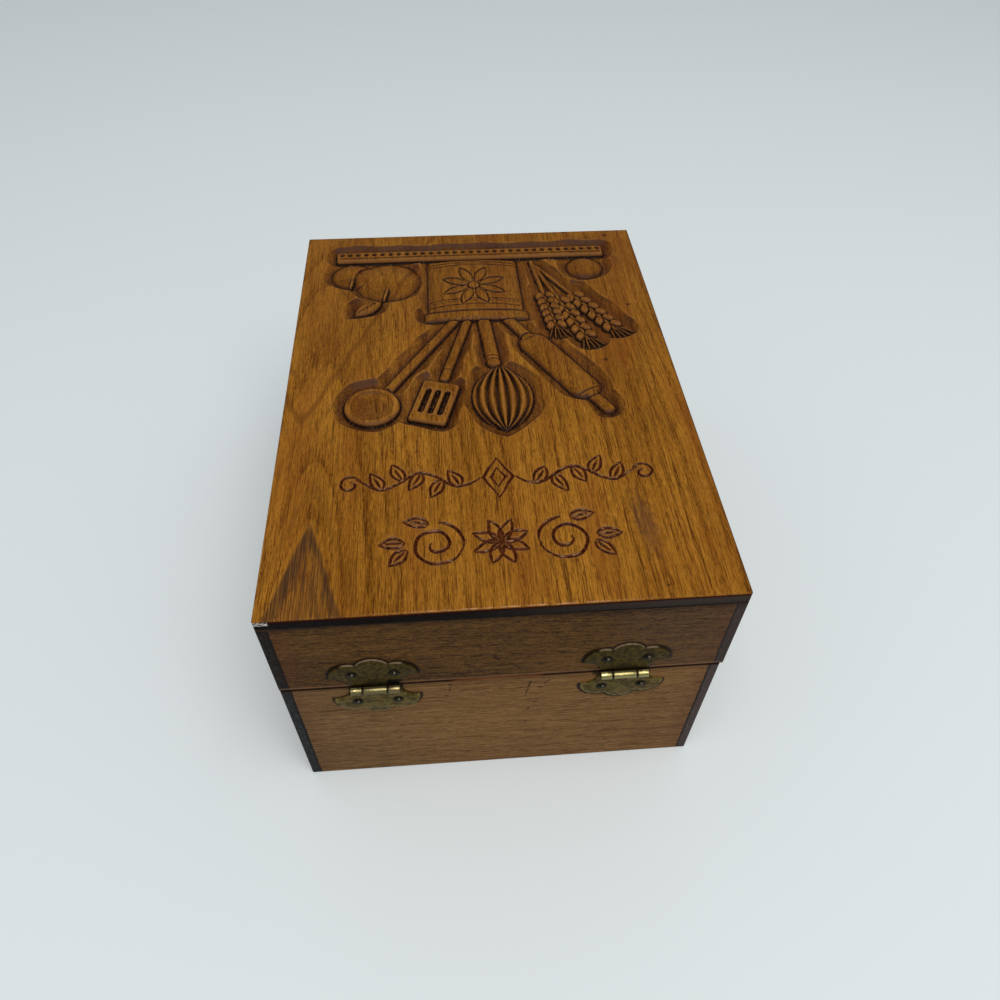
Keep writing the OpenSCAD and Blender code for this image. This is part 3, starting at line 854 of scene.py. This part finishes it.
# %% Jar with a flower
belly = 0.35 + 1.15 * (grid_x / (jar_half[0] * unit)) ** 2
form(jar, belly, 2.2, foot=0.8)
bowed_y = carve_y / unit + 1.2 * (1 - (grid_x / 20) ** 2)
for line_y in (10.2, 11.8, 33.0, 36.4):
    groove((bowed_y - line_y) * unit, 0.6, 0.5, jar < -0.8)
zigzag = abs((grid_x / 3.4) % 1 - 0.5) * 2.6 + 34.0 - 0.65
groove((bowed_y - zigzag) * unit * 0.6, 0.45, 0.45, (jar < -0.8) & (abs(bowed_y - 34.7) < 1.3))
form(rim, belly - 0.1, 2.0, foot=0.8)
flower = np.array([0.0, 23.6])
petal_turns = np.radians(45 * np.arange(8) + 22.5)
for way in np.column_stack([np.cos(petal_turns), np.sin(petal_turns)]):
    form(lens(flower + way * 2.0, flower + way * 11.5, 1.7), belly - 0.1, 1.6, foot=0.85)
form(disc(flower, 2.0), belly - 0.2, 1.8, foot=0.8)
print("jar carved")

# %% Apples and egg
for middle, radius in apples:
    form(disc(middle, radius), 0.25, radius * unit * 0.8, foot=1.1)
    top = np.add(middle, (0, radius * 0.55))
    x, y = beside(top)
    height -= 1.1 * np.exp(-(x / (radius * 0.42 * unit)) ** 2 - (y / (radius * 0.24 * unit)) ** 2)
    form(bar(top, top + (radius * 0.08, radius * 0.5), 0.55), 0.5, 0.6, foot=0.3)
form(apple_leaf, 0.4, 2.0, foot=0.7)
leaf_along, leaf_across, _ = along_line(*leaf_line)
groove(leaf_across, 0.45, 0.5, apple_leaf < -0.3)
groove((leaf_along - abs(leaf_across) * 1.1) % 2.1 - 1.05, 0.4, 0.28, apple_leaf < -0.5)
form(egg, 0.3, 6.0 * unit, foot=1.1)
tool_marks = np.sin(grid_x * 1.7 + 1.4 * np.sin(grid_y * 0.21)) * np.sin(grid_y * 0.29 + grid_x * 0.17)
height -= 0.08 * abs(tool_marks) * ((to_wall < -1.0) & (height < -0.3))
print(f"deepest cut {-height.min():.2f} mm")

# %% [markdown]
# ## Incised ornament
# Behind the picture run two rows of ornament, cut with a V tool. A V cut is narrow where it is
# shallow, so each stroke swells from a thin end to a full middle. Strokes are lists of short lines,
# and the height map takes the deepest cut of all the lines near a point.

# %% Strokes
strokes = []


def stroke(points, half=0.68):
    """A cut along points in millimetres on the lid. Half is half its width, and its ends are thin."""
    count = len(points) - 1
    shares = [min(1, 5 * i / count, 5 * (count - i) / count) for i in range(count + 1)]
    swell = [half * (0.55 + 0.45 * share) for share in shares]
    strokes.extend(zip(points[:-1], points[1:], swell[:-1], swell[1:]))


def both_sides(middle_x, points, half=0.68):
    """The same cut on both sides of a middle line."""
    for way in (1, -1):
        stroke([(middle_x + way * x, y) for x, y in points], half)


def leaf_cut(base, angle, length, bulge):
    """The two sides and the rib of a leaf, as lists of points."""
    run, rise = length * math.cos(math.radians(angle)), length * math.sin(math.radians(angle))
    edge = [(i / 14, bulge / length * math.sin(math.pi * (i / 14) ** 0.8)) for i in range(15)]
    rib = [(t, 0) for t in (0.12, 0.3, 0.5, 0.72)]
    cuts = []
    for line, side in ((edge, -1), (edge, 1), (rib, 0)):
        places = [(t, side * out) for t, out in line]
        cuts.append([(base[0] + run * t - rise * out, base[1] + rise * t + run * out) for t, out in places])
    return cuts


def curl(middle, radius, end_radius, start, turn, count=33):
    """A spiral about a middle. Start and turn are angles in degrees."""
    angles = np.radians(np.linspace(start, start + turn, count))
    radii = np.linspace(radius, end_radius, count)
    return [(middle[0] + r * math.cos(a), middle[1] + r * math.sin(a)) for r, a in zip(radii, angles)]


print("a leaf is cut in lines of", [len(line) for line in leaf_cut((0, 0), 0, 8, 2)], "points")

# %% Row with a vine and a lozenge
row_x, row_y = -1.7, 51.0
vine_step, vine_wave = 0.75, 26
turn_step = 2 * math.pi * vine_step / vine_wave
both_sides(row_x, [(6 + i * vine_step, row_y + 3.4 * math.sin(i * turn_step)) for i in range(56)])
vine_leaves = (12.5, 54.4, -62), (18.6, 51.2, 62), (25.5, 47.6, 62), (31.6, 50.8, -62), (38.5, 54.4, -62)
for base_x, base_y, angle in vine_leaves:
    for line in leaf_cut((base_x, base_y), angle, 8.6, 2.1):
        both_sides(row_x, line, 0.6)
both_sides(row_x, curl((49.3, 51.6), 4.0, 1.0, -150, 430), 0.6)
for half_x, half_y, half in ((5, 9, 0.68), (2.4, 4.4, 0.6)):
    both_sides(row_x, [(0, row_y - half_y), (half_x, row_y), (0, row_y + half_y)], half)
print(len(strokes), "short cuts in the vine's row")

# %% Row with a rosette and scrolls
row_x, row_y = -0.8, 78.4
for petal in range(8):
    for line in leaf_cut((row_x, row_y), 45 * petal + 22.5, 9.4, 1.9)[:2]:
        stroke(line, 0.6)
both_sides(row_x, curl((20.5, row_y), 8.8, 1.6, 180, -560))
both_sides(row_x, curl((20.5, row_y), 8.8, 8.8, 180, 82, count=12))
for base_x, base_y, angle in ((22.5, row_y - 8.6, -8), (29.5, row_y + 1.6, 48), (30.2, row_y - 1.2, 2)):
    for line in leaf_cut((base_x, base_y), angle, 8.2, 1.9):
        both_sides(row_x, line, 0.6)
print(len(strokes), "short cuts in both rows")

# %% Cut the ornament
cut_slope = 1.5
reach = 1.2
deepest = 2.75
waver_x = grid_x + 0.12 * np.sin(grid_y * 0.9)
waver_y = grid_y + 0.12 * np.sin(grid_x * 0.8)
ornament = np.zeros_like(height)
for (ax, ay), (bx, by), start_half, end_half in strokes:
    window_x = (map_x > min(ax, bx) - reach) & (map_x < max(ax, bx) + reach)
    window_y = (map_y > min(ay, by) - reach) & (map_y < max(ay, by) + reach)
    window = np.ix_(window_y, window_x)
    px, py = waver_x[window] - ax, waver_y[window] - ay
    dx, dy = bx - ax, by - ay
    t = ((px * dx + py * dy) / (dx * dx + dy * dy)).clip(0, 1)
    away = np.hypot(px - t * dx, py - t * dy)
    half = start_half + (end_half - start_half) * t
    ornament[window] = np.maximum(ornament[window], (half - away) * cut_slope)
height = height - ornament
height = -deepest * np.tanh((-height / deepest).clip(0) ** 3) ** (1 / 3)
print(f"ornament cut {ornament.max():.2f} mm deep, deepest cut of all {-height.min():.2f} mm")

# %% [markdown]
# ## The board itself
# The board starts as a cube of its own size with its arrises taken off. Planes cut its upper half
# into 2 mm cells, and cells are halved again only where the height map changes fast: a flat face
# needs few faces, and a gouge cut needs many. Then each point of the face drops to its depth.


# %% Reading the height map
def read_map(values, x, y):
    """The map's value at points in millimetres, blended from the four nearest grid points."""
    u = ((x - map_x[0]) / map_step).clip(0, len(map_x) - 1.001)
    v = ((y - map_y[0]) / map_step).clip(0, len(map_y) - 1.001)
    i, j = u.astype(int), v.astype(int)
    s, t = u - i, v - j
    low = values[j, i] * (1 - s) + values[j, i + 1] * s
    high = values[j + 1, i] * (1 - s) + values[j + 1, i + 1] * s
    return low * (1 - t) + high * t


def blurred(values, reach):
    """Mean over a square with the given reach in millimetres, taken twice."""
    n = int(reach / map_step)
    for axis in (0, 1, 0, 1):
        edge = [(n + 1, n) if a == axis else (0, 0) for a in (0, 1)]
        total = np.cumsum(np.pad(values, edge, mode="edge"), axis=axis)
        window = 2 * n + 1
        count = values.shape[axis]
        high = np.take(total, range(window, window + count), axis=axis)
        values = (high - np.take(total, range(count), axis=axis)) / window
    return values


fine_reach, wide_reach = 0.4, 2.4
readings = {
    "depth": -height,
    "ornament": ornament,
    "hollow_near": (blurred(height, fine_reach) - height).clip(0),
    "hollow_wide": (blurred(height, wide_reach) - height).clip(0),
    "crest": (height - blurred(height, fine_reach)).clip(0),
    "end_grain": blurred(abs(np.gradient(height, map_step, axis=0)), map_step),
}
print("largest readings:", {name: round(float(values.max()), 2) for name, values in readings.items()})

# %% Block with eased arrises
arris = 0.6
edge_bevel = {"profile": 0.5, "affect": "EDGES", "material": -1}
cell_size = 2
top_level = (lid_face - 0.01) * MM
lower_level = (board_underside + 2) * MM
block = bmesh.new()
bmesh.ops.create_cube(block, size=1)
block_size, block_middle = board_high - board_low, (board_high + board_low) / 2
bmesh.ops.scale(block, vec=block_size * MM, verts=block.verts)
bmesh.ops.translate(block, vec=block_middle * MM, verts=block.verts)
upper = [e for e in block.edges if max(v.co.z for v in e.verts) > block_middle[2] * MM]
bmesh.ops.bevel(block, geom=upper, offset=arris * MM, segments=4, **edge_bevel)


def cut_across(normal, start, end):
    """Cuts the block's upper half with planes that are a cell apart, square to the normal."""
    for place in np.arange(start + cell_size, end - 1.5, cell_size):
        faces = [f for f in block.faces if f.calc_center_median().z > lower_level]
        geometry = faces + list({e for f in faces for e in f.edges})
        plane = Vector(normal) * (place * MM)
        bmesh.ops.bisect_plane(block, geom=geometry, plane_co=plane, plane_no=normal, dist=1e-6)


cut_across((1, 0, 0), board_left, board_right)
cut_across((0, 1, 0), -half_depth, half_depth)
print("block in cells:", len(block.faces), "faces")


# %% Finer cells where the carving needs them
def top_faces():
    return [f for f in block.faces if f.normal.z > 0.999 and f.calc_center_median().z > top_level]


def spread_of(faces):
    """How much the height map changes within each face's box, and that box's size, in millimetres."""
    corners = [[(v.co.x / MM, v.co.y / MM) for v in f.verts] for f in faces]
    low = np.array([np.min(c, axis=0) for c in corners])
    high = np.array([np.max(c, axis=0) for c in corners])
    samples = []
    for s in np.linspace(0, 1, 6):
        for t in np.linspace(0, 1, 6):
            place = low + (high - low) * (s, t)
            samples.append(read_map(height, place[:, 0], place[:, 1]))
    return np.ptp(samples, axis=0), (high - low).max(axis=1)


for cell, allowed in ((cell_size, 0.1), (cell_size / 2, 0.27), (cell_size / 4, 0.7)):
    faces = top_faces()
    spread, size = spread_of(faces)
    wanted = (spread > allowed) & (size > cell * 0.6)
    edges = {e for f, take in zip(faces, wanted) if take for e in f.edges}
    bmesh.ops.subdivide_edges(block, edges=list(edges), cuts=1, use_grid_fill=True)
    print(f"{cell} mm cells halved: {wanted.sum()} faces, now {len(block.faces)}")

# %% Drop the face to its depths
face_points = [v for v in block.verts if v.co.z > top_level]
depths = read_map(height, *(np.array([v.co.xy for v in face_points]) / MM).T)
for vertex, depth in zip(face_points, depths):
    vertex.co.z += depth * MM
for face in block.faces:
    face.smooth = True
bmesh.ops.recalc_face_normals(block, faces=block.faces)
carved_board = new_object("carved_lid_board", mesh_of("carved_lid_board", block))
place = np.zeros(len(carved_board.data.vertices) * 3)
carved_board.data.vertices.foreach_get("co", place)
place = place.reshape(-1, 3) / MM
on_face = place[:, 2] > lid_face - 4
for name, values in readings.items():
    layer = carved_board.data.attributes.new(name, "FLOAT", "POINT")
    layer.data.foreach_set("value", read_map(values, place[:, 0], place[:, 1]) * on_face)
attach(carved_board, "lid")
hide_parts("lid_top_board")
carved_board.data.materials.append(top_wood)
print("carved board:", sum(len(p.vertices) - 2 for p in carved_board.data.polygons), "triangles")

# %% [markdown]
# ## Hinge leaves
# A leaf is stamped from 0.7 mm sheet brass, in an outline of three lobes, and its tongues are rolled
# round the pin to make the knuckles. We draw half the outline as arcs, by spinning a point round the
# middle of each lobe, mirror it, cut the nail holes as loops of their own, and fill what lies
# between. Extruding the sheet gives it its thickness, and a fine bevel catches the light as its
# worn rim does. A knuckle is the sheet's own section spun round the pin, with a seam left open.

# %% Hinge sizes
sheet = 0.7
barrel_radius, bore_radius = 1.4, 0.7
barrel_half = (pin_high[0] - pin_low[0]) / 2
middle_half, outer_start = 3.9, 4.25
knuckle_turn = math.radians(318)
slot_height = 1.9
nail_place = (6.7, 8.8)
nail_hole = 0.75
sheet_back = half_depth - pin_y
print(f"barrel {2 * barrel_half:.1f} mm long, sheet {sheet} mm, from {sheet_back:.2f} mm off the pin")


# %% Outline of a leaf
def meeting(first, second):
    """Where two circles cross, the crossing farther from the hinge's middle."""
    run, rise = second[0] - first[0], second[1] - first[1]
    gap = math.hypot(run, rise)
    run, rise = run / gap, rise / gap
    along = (first[2] ** 2 - second[2] ** 2 + gap ** 2) / (2 * gap)
    side = math.sqrt(first[2] ** 2 - along ** 2)
    x, z = first[0] + along * run, first[1] + along * rise
    return max((x - side * rise, z + side * run), (x + side * rise, z - side * run), key=sum)


def bearing(circle, point):
    """Angle from straight up, positive towards the hinge's outer end."""
    return math.atan2(point[0] - circle[0], point[1] - circle[1])


def add_arc(leaf, start, circle, angle):
    steps = max(3, int(abs(angle) / math.radians(7)))
    centre = Vector((circle[0], 0, circle[1])) * MM
    made = bmesh.ops.spin(leaf, geom=[start], cent=centre, axis=(0, 1, 0), angle=angle, steps=steps)
    return next(v for v in made["geom_last"] if isinstance(v, bmesh.types.BMVert))


def half_outline(leaf, rolled_middle):
    """Half of a leaf's outline, from the top of its middle lobe down to the pin."""
    lobe_end, wing_end = meeting(lobe, wing), meeting(wing, scoop)
    if rolled_middle:
        scoop_turn = -math.acos((slot_height - scoop[1]) / scoop[2])
        tongue = [(middle_half, slot_height), (middle_half, 0), (0, 0)]
    else:
        scoop_turn = -math.pi / 2
        tongue = [(barrel_half, 0.2), (barrel_half, 0), (outer_start, 0), (outer_start, slot_height)]
        tongue.append((0, slot_height))
    point = leaf.verts.new(Vector((0, 0, leaf_rise)) * MM)
    point = add_arc(leaf, point, lobe, bearing(lobe, lobe_end))
    point = add_arc(leaf, point, wing, bearing(wing, wing_end) - bearing(wing, lobe_end))
    point = add_arc(leaf, point, scoop, scoop_turn - bearing(scoop, wing_end))
    for x, z in tongue:
        end = leaf.verts.new(Vector((x, 0, z)) * MM)
        leaf.edges.new((point, end))
        point = end


print("arcs meet at", [[round(c, 1) for c in meeting(*pair)] for pair in ((lobe, wing), (wing, scoop))])

# %% Sheet of a leaf
sheet_bevel = 0.16


def add_sheet(leaf, rolled_middle):
    half_outline(leaf, rolled_middle)
    bmesh.ops.mirror(leaf, geom=leaf.verts[:] + leaf.edges[:], axis="X", merge_dist=0.01 * MM)
    for side in (-1, 1):
        place = Matrix.Translation(Vector((side * nail_place[0], 0, nail_place[1])) * MM)
        place = place @ Matrix.Rotation(math.pi / 2, 4, "X")
        bmesh.ops.create_circle(leaf, segments=20, radius=nail_hole * MM, matrix=place)
    bmesh.ops.remove_doubles(leaf, verts=leaf.verts, dist=0.005 * MM)
    bmesh.ops.triangle_fill(leaf, edges=leaf.edges, use_beauty=True)
    made = bmesh.ops.extrude_face_region(leaf, geom=leaf.faces[:])
    front = [v for v in made["geom"] if isinstance(v, bmesh.types.BMVert)]
    bmesh.ops.translate(leaf, vec=(0, sheet * MM, 0), verts=front)
    bmesh.ops.recalc_face_normals(leaf, faces=leaf.faces)
    front_edges = [e for e in leaf.edges if all(v.co.y > sheet / 2 * MM for v in e.verts)]
    rims = [e for e in front_edges if e.calc_face_angle(0) > 1.0]
    bmesh.ops.bevel(leaf, geom=rims, offset=sheet_bevel * MM, segments=2, **edge_bevel)
    bmesh.ops.translate(leaf, vec=(0, sheet_back * MM, 0), verts=leaf.verts)


print("nail holes", 2 * nail_hole, "mm wide, rims bevelled by", sheet_bevel, "mm")

# %% Knuckles
knuckle_bevel = 0.14


def add_knuckle(leaf, start_x, end_x):
    """The sheet's section spun round the pin, from the wood under the pin and up to a seam."""
    corners = [(start_x, bore_radius), (end_x, bore_radius), (end_x, barrel_radius)]
    corners.append((start_x, barrel_radius))
    before = set(leaf.verts)
    section = leaf.faces.new([leaf.verts.new(Vector((x, -r, 0)) * MM) for x, r in corners])
    geometry = [section] + section.edges[:] + section.verts[:]
    bmesh.ops.spin(leaf, geom=geometry, cent=(0, 0, 0), axis=(1, 0, 0), angle=knuckle_turn, steps=30)
    rims = set()
    for edge in {e for v in leaf.verts if v not in before for e in v.link_edges}:
        outside = all(math.hypot(v.co.y, v.co.z) / MM > barrel_radius - 0.01 for v in edge.verts)
        if outside and abs(edge.verts[0].co.x - edge.verts[1].co.x) < 1e-7:
            rims.add(edge)
    bmesh.ops.bevel(leaf, geom=list(rims), offset=knuckle_bevel * MM, segments=2, **edge_bevel)


print(f"a knuckle turns {math.degrees(knuckle_turn):.0f} degrees round its pin")


# %% Leaves
def finished(name, work, flattest, sharp):
    """The object of a bmesh. Faces turned to the back by more than flattest stay flat."""
    bmesh.ops.recalc_face_normals(work, faces=work.faces)
    piece = new_object(name, mesh_of(name, work))
    for polygon in piece.data.polygons:
        polygon.use_smooth = abs(polygon.normal.y) < flattest
    piece.data.set_sharp_from_angle(angle=math.radians(sharp))
    return piece


def hinge_leaf(side, name, way, replaced):
    """One leaf at its place. Way is 1 for the lid's leaf and -1 for the base's."""
    leaf = bmesh.new()
    add_sheet(leaf, rolled_middle=way > 0)
    if way > 0:
        add_knuckle(leaf, -middle_half, middle_half)
    else:
        add_knuckle(leaf, outer_start, barrel_half)
        add_knuckle(leaf, -barrel_half, -outer_start)
    bmesh.ops.scale(leaf, vec=(1, 1, way), verts=leaf.verts)
    place = Vector((pair_middle + side * pair_half, pin_y, pin_z)) * MM
    bmesh.ops.translate(leaf, vec=place, verts=leaf.verts)
    piece = finished(name, leaf, flattest=0.99, sharp=35)
    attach(piece, "lid" if way > 0 else "base")
    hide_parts(replaced)
    return piece


hinge_sides = [
    (side, side_name, way, body_name)
    for side, side_name in ((-1, "left"), (1, "right")) for way, body_name in ((1, "lid"), (-1, "base"))
]
leaves = []
for side, side_name, way, body_name in hinge_sides:
    name = f"{side_name}_hinge_{body_name}_stamped_leaf"
    leaves.append(hinge_leaf(side, name, way, f"{side_name}_hinge_{body_name}_leaf"))
print("leaves:", [(leaf.name, len(leaf.data.polygons)) for leaf in leaves])

# %% [markdown]
# ## Brass
# Old brass goes brown and green where it isn't touched, and stays bright where it rubs. The flat
# leaves are dull, with rings of patina and painted shade round the nails and painted highlights on
# their rims, and the barrels are polished, with painted shade on their lower parts and in their gaps.

# %% Patina of the leaves
nodes = Nodes("hinge_brass")
x, y, z = nodes.position()
from_hinge = abs(abs(x - pair_middle) - pair_half)
rise = abs(z - pin_z)
cloud = nodes.noise(x * 0.7, y * 0.7, z * 0.7, detail=4, roughness=0.6)
fine = nodes.noise(x * 3.0, y * 3.0, z * 3.0)
nodes.body = nodes.blend(cloud.step(0.35, 0.65), (42, 33, 8), (74, 59, 20))
nodes.cover(fine.step(0.52, 0.75) * 0.5, (34, 30, 13))
blooms = nodes.noise(x * 0.35, y * 0.35, z * 0.5, detail=3).step(0.42, 0.6)
nodes.cover(z.step(pin_z, pin_z - 2.0) * (blooms * 0.45 + 0.15), (111, 95, 50))
nail_ring = apart(from_hinge - nail_place[0], rise - nail_place[1]).step(2.3, 1.7)
crease = rise.step(3.4, 2.2) * from_hinge.step(8.5, 7.5)
# Patina and painted shade round the nails, and painted shade and dirt where the leaf meets the barrel.
nodes.cover(nail_ring.most(crease * 0.7) * 0.85, (24, 19, 9))
print("patina laid, hinge brass has", len(nodes.tree.nodes), "nodes so far")

# %% Polished barrels, painted highlights on the rims, and painted shade
barrel = apart(y - pin_y, z - pin_z).step(1.6, 1.45) * (y - pin_y).step(-0.7, 0.1)
fresh = x.step(10.0, -10.0)
nodes.cover(barrel, nodes.blend(fresh, (206, 190, 132), (248, 232, 156)))
inside = past(lobe, from_hinge, rise).least(past(wing, from_hinge, rise))
crowns = [(rise - circle[1]).step(circle[2] * 0.92, circle[2] * 0.99) for circle in (lobe, wing)]
crown = inside.step(-0.12, -0.02) * crowns[0].most(crowns[1]) * z.step(pin_z + 6.0, pin_z + 9.0)
below = z.step(pin_z - 4.0, pin_z - 8.0)
# A painted highlight: a pale line inside the edge of the base's leaves.
nodes.cover(near(inside, -0.55, 0.15, 0.2) * below * cloud.step(0.4, 0.6) * 0.5, (140, 122, 80))
nodes.cover(inside.step(-0.2, -0.04) * 0.6, (26, 20, 8))
# Painted highlights on the crowns of the lobes.
nodes.cover(crown * cloud.step(0.2, 0.5) * 0.45, (164, 142, 112))
# Painted shade on the lower part of each barrel, mottled with tarnish specks.
under = z.step(pin_z + 0.2, pin_z - 0.3) * from_hinge.step(4.1, 3.9)
low = z.step(pin_z + 0.95, pin_z + 0.1) * (0.85 - fresh * 0.45)
nodes.cover(barrel * (fine.step(0.45, 0.6) * (under * 0.5 + 0.4)).most(low), (72, 55, 14))
# Painted shade in the gaps between the knuckles.
gap = near(from_hinge, (middle_half + outer_start) / 2, 0.3, 0.2)
nodes.cover(barrel * gap * 0.9, (36, 28, 12))
dull = near(x, right_pin[0] - 6.1, 1.9, 0.1)
nodes.cover(barrel * dull * 0.6, (120, 104, 72))
# Painted shadow in the slot between one leaf and its outer knuckle.
slot_shadow = near(x, right_pin[0] - 6.3, 2.0, 0.7) * near(z, pin_z + 2.9, 1.2, 0.8)
nodes.cover(slot_shadow * (1.0 - barrel) * 0.97, (6, 4, 3))
bump = nodes.bump(cloud + fine * 0.3, 0.05)
shine = {"Metallic": barrel * 0.83 + 0.12, "Roughness": 0.55 - barrel * 0.25}
hinge_brass = nodes.finish(Specular_IOR_Level=0.05, Normal=bump, **shine)
for leaf in leaves:
    leaf.data.materials.append(hinge_brass)
print("hinge brass has", len(nodes.tree.nodes), "nodes")

# %% [markdown]
# ## Nails and pins
# A nail is a domed head on a pointed shank. A flattened ball makes the dome, cut off where it meets
# the leaf, and a cone makes the shank. Nails and pins are nearly black, and each nail head has a
# small painted highlight. The pins' darkness is painted shade in the gaps between the knuckles.

# %% Nails
head_radius, head_height = 1.3, 0.8
shank_radius, tip_radius, shank_length = 0.5, 0.1, 5.6


def hinge_nails(side, name, way, replaced):
    """The two nails of one leaf. Way is as it is for the leaf."""
    nails = bmesh.new()
    flat_ball = Matrix.Diagonal((1, head_height / head_radius, 1, 1))
    inward = Matrix.Translation((0, (0.01 - shank_length / 2) * MM, 0))
    inward = inward @ Matrix.Rotation(math.pi / 2, 4, "X")
    hinge_x = pair_middle + side * pair_half
    for across in (-nail_place[0], nail_place[0]):
        seat = Vector((hinge_x + across, half_depth + sheet, pin_z + way * nail_place[1])) * MM
        place = Matrix.Translation(seat)
        round_head = {"u_segments": 24, "v_segments": 16, "radius": head_radius * MM}
        ball = bmesh.ops.create_uvsphere(nails, matrix=place @ flat_ball, **round_head)["verts"]
        geometry = {part for v in ball for part in (v, *v.link_edges, *v.link_faces)}
        plane = {"plane_co": seat, "plane_no": (0, 1, 0), "clear_inner": True}
        made = bmesh.ops.bisect_plane(nails, geom=list(geometry), **plane)
        loop = [e for e in made["geom_cut"] if isinstance(e, bmesh.types.BMEdge)]
        bmesh.ops.edgeloop_fill(nails, edges=loop)
        shank = {"radius1": shank_radius * MM, "radius2": tip_radius * MM, "depth": shank_length * MM}
        bmesh.ops.create_cone(nails, cap_ends=True, segments=16, matrix=place @ inward, **shank)
    piece = finished(name, nails, flattest=2, sharp=50)
    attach(piece, "lid" if way > 0 else "base")
    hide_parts(replaced)
    return piece


nail_pieces = []
for side, side_name, way, body_name in hinge_sides:
    name = f"{side_name}_hinge_{body_name}_domed_nails"
    nail_pieces.append(hinge_nails(side, name, way, f"{side_name}_hinge_{body_name}_nails"))
print("nails:", [(piece.name, len(piece.data.polygons)) for piece in nail_pieces])


# %% Dark brass
def sign(value):
    return value.step(-0.1, 0.1) * 2.0 - 1.0


def painted_highlight_spot(x, z):
    """1 on the painted highlight of each nail's head, which lies up and to the side of its middle."""
    from_hinge = (abs(x - pair_middle) - pair_half) * sign(x - pair_middle)
    from_nail = (abs(from_hinge) - nail_place[0]) * sign(from_hinge)
    rise = (abs(z - pin_z) - nail_place[1]) * sign(z - pin_z)
    return apart(from_nail + 0.25, rise - 0.75).step(0.45, 0.2)


def dark_brass(name, dark, light, rough, metal, lightened=False):
    nodes = Nodes(name)
    x, y, z = nodes.position()
    cloud = nodes.noise(x * 1.4, y * 1.4, z * 1.4, detail=3)
    nodes.body = nodes.blend(cloud.step(0.4, 0.65), dark, light)
    if lightened:
        # A painted highlight on each nail head.
        nodes.cover(painted_highlight_spot(x, z), (112, 104, 82))
    shine = {"Metallic": metal, "Roughness": cloud * 0.2 + rough, "Specular_IOR_Level": 0.09}
    return nodes.finish(Normal=nodes.bump(cloud, 0.03), **shine)


# The pins are dark so that the gaps between the knuckles show painted shade.
pin_brass = dark_brass("pin_brass", (44, 36, 18), (76, 62, 32), rough=0.4, metal=0.6)
nail_brass = dark_brass("nail_brass", (12, 9, 6), (26, 21, 13), rough=0.2, metal=0.0, lightened=True)
for side_name in ("left", "right"):
    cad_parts[side_name + "_hinge_pin"].material_slots[0].material = pin_brass
for piece in nail_pieces:
    piece.data.materials.append(nail_brass)
print("dark brass on", len(nail_pieces), "pairs of nails and two pins")
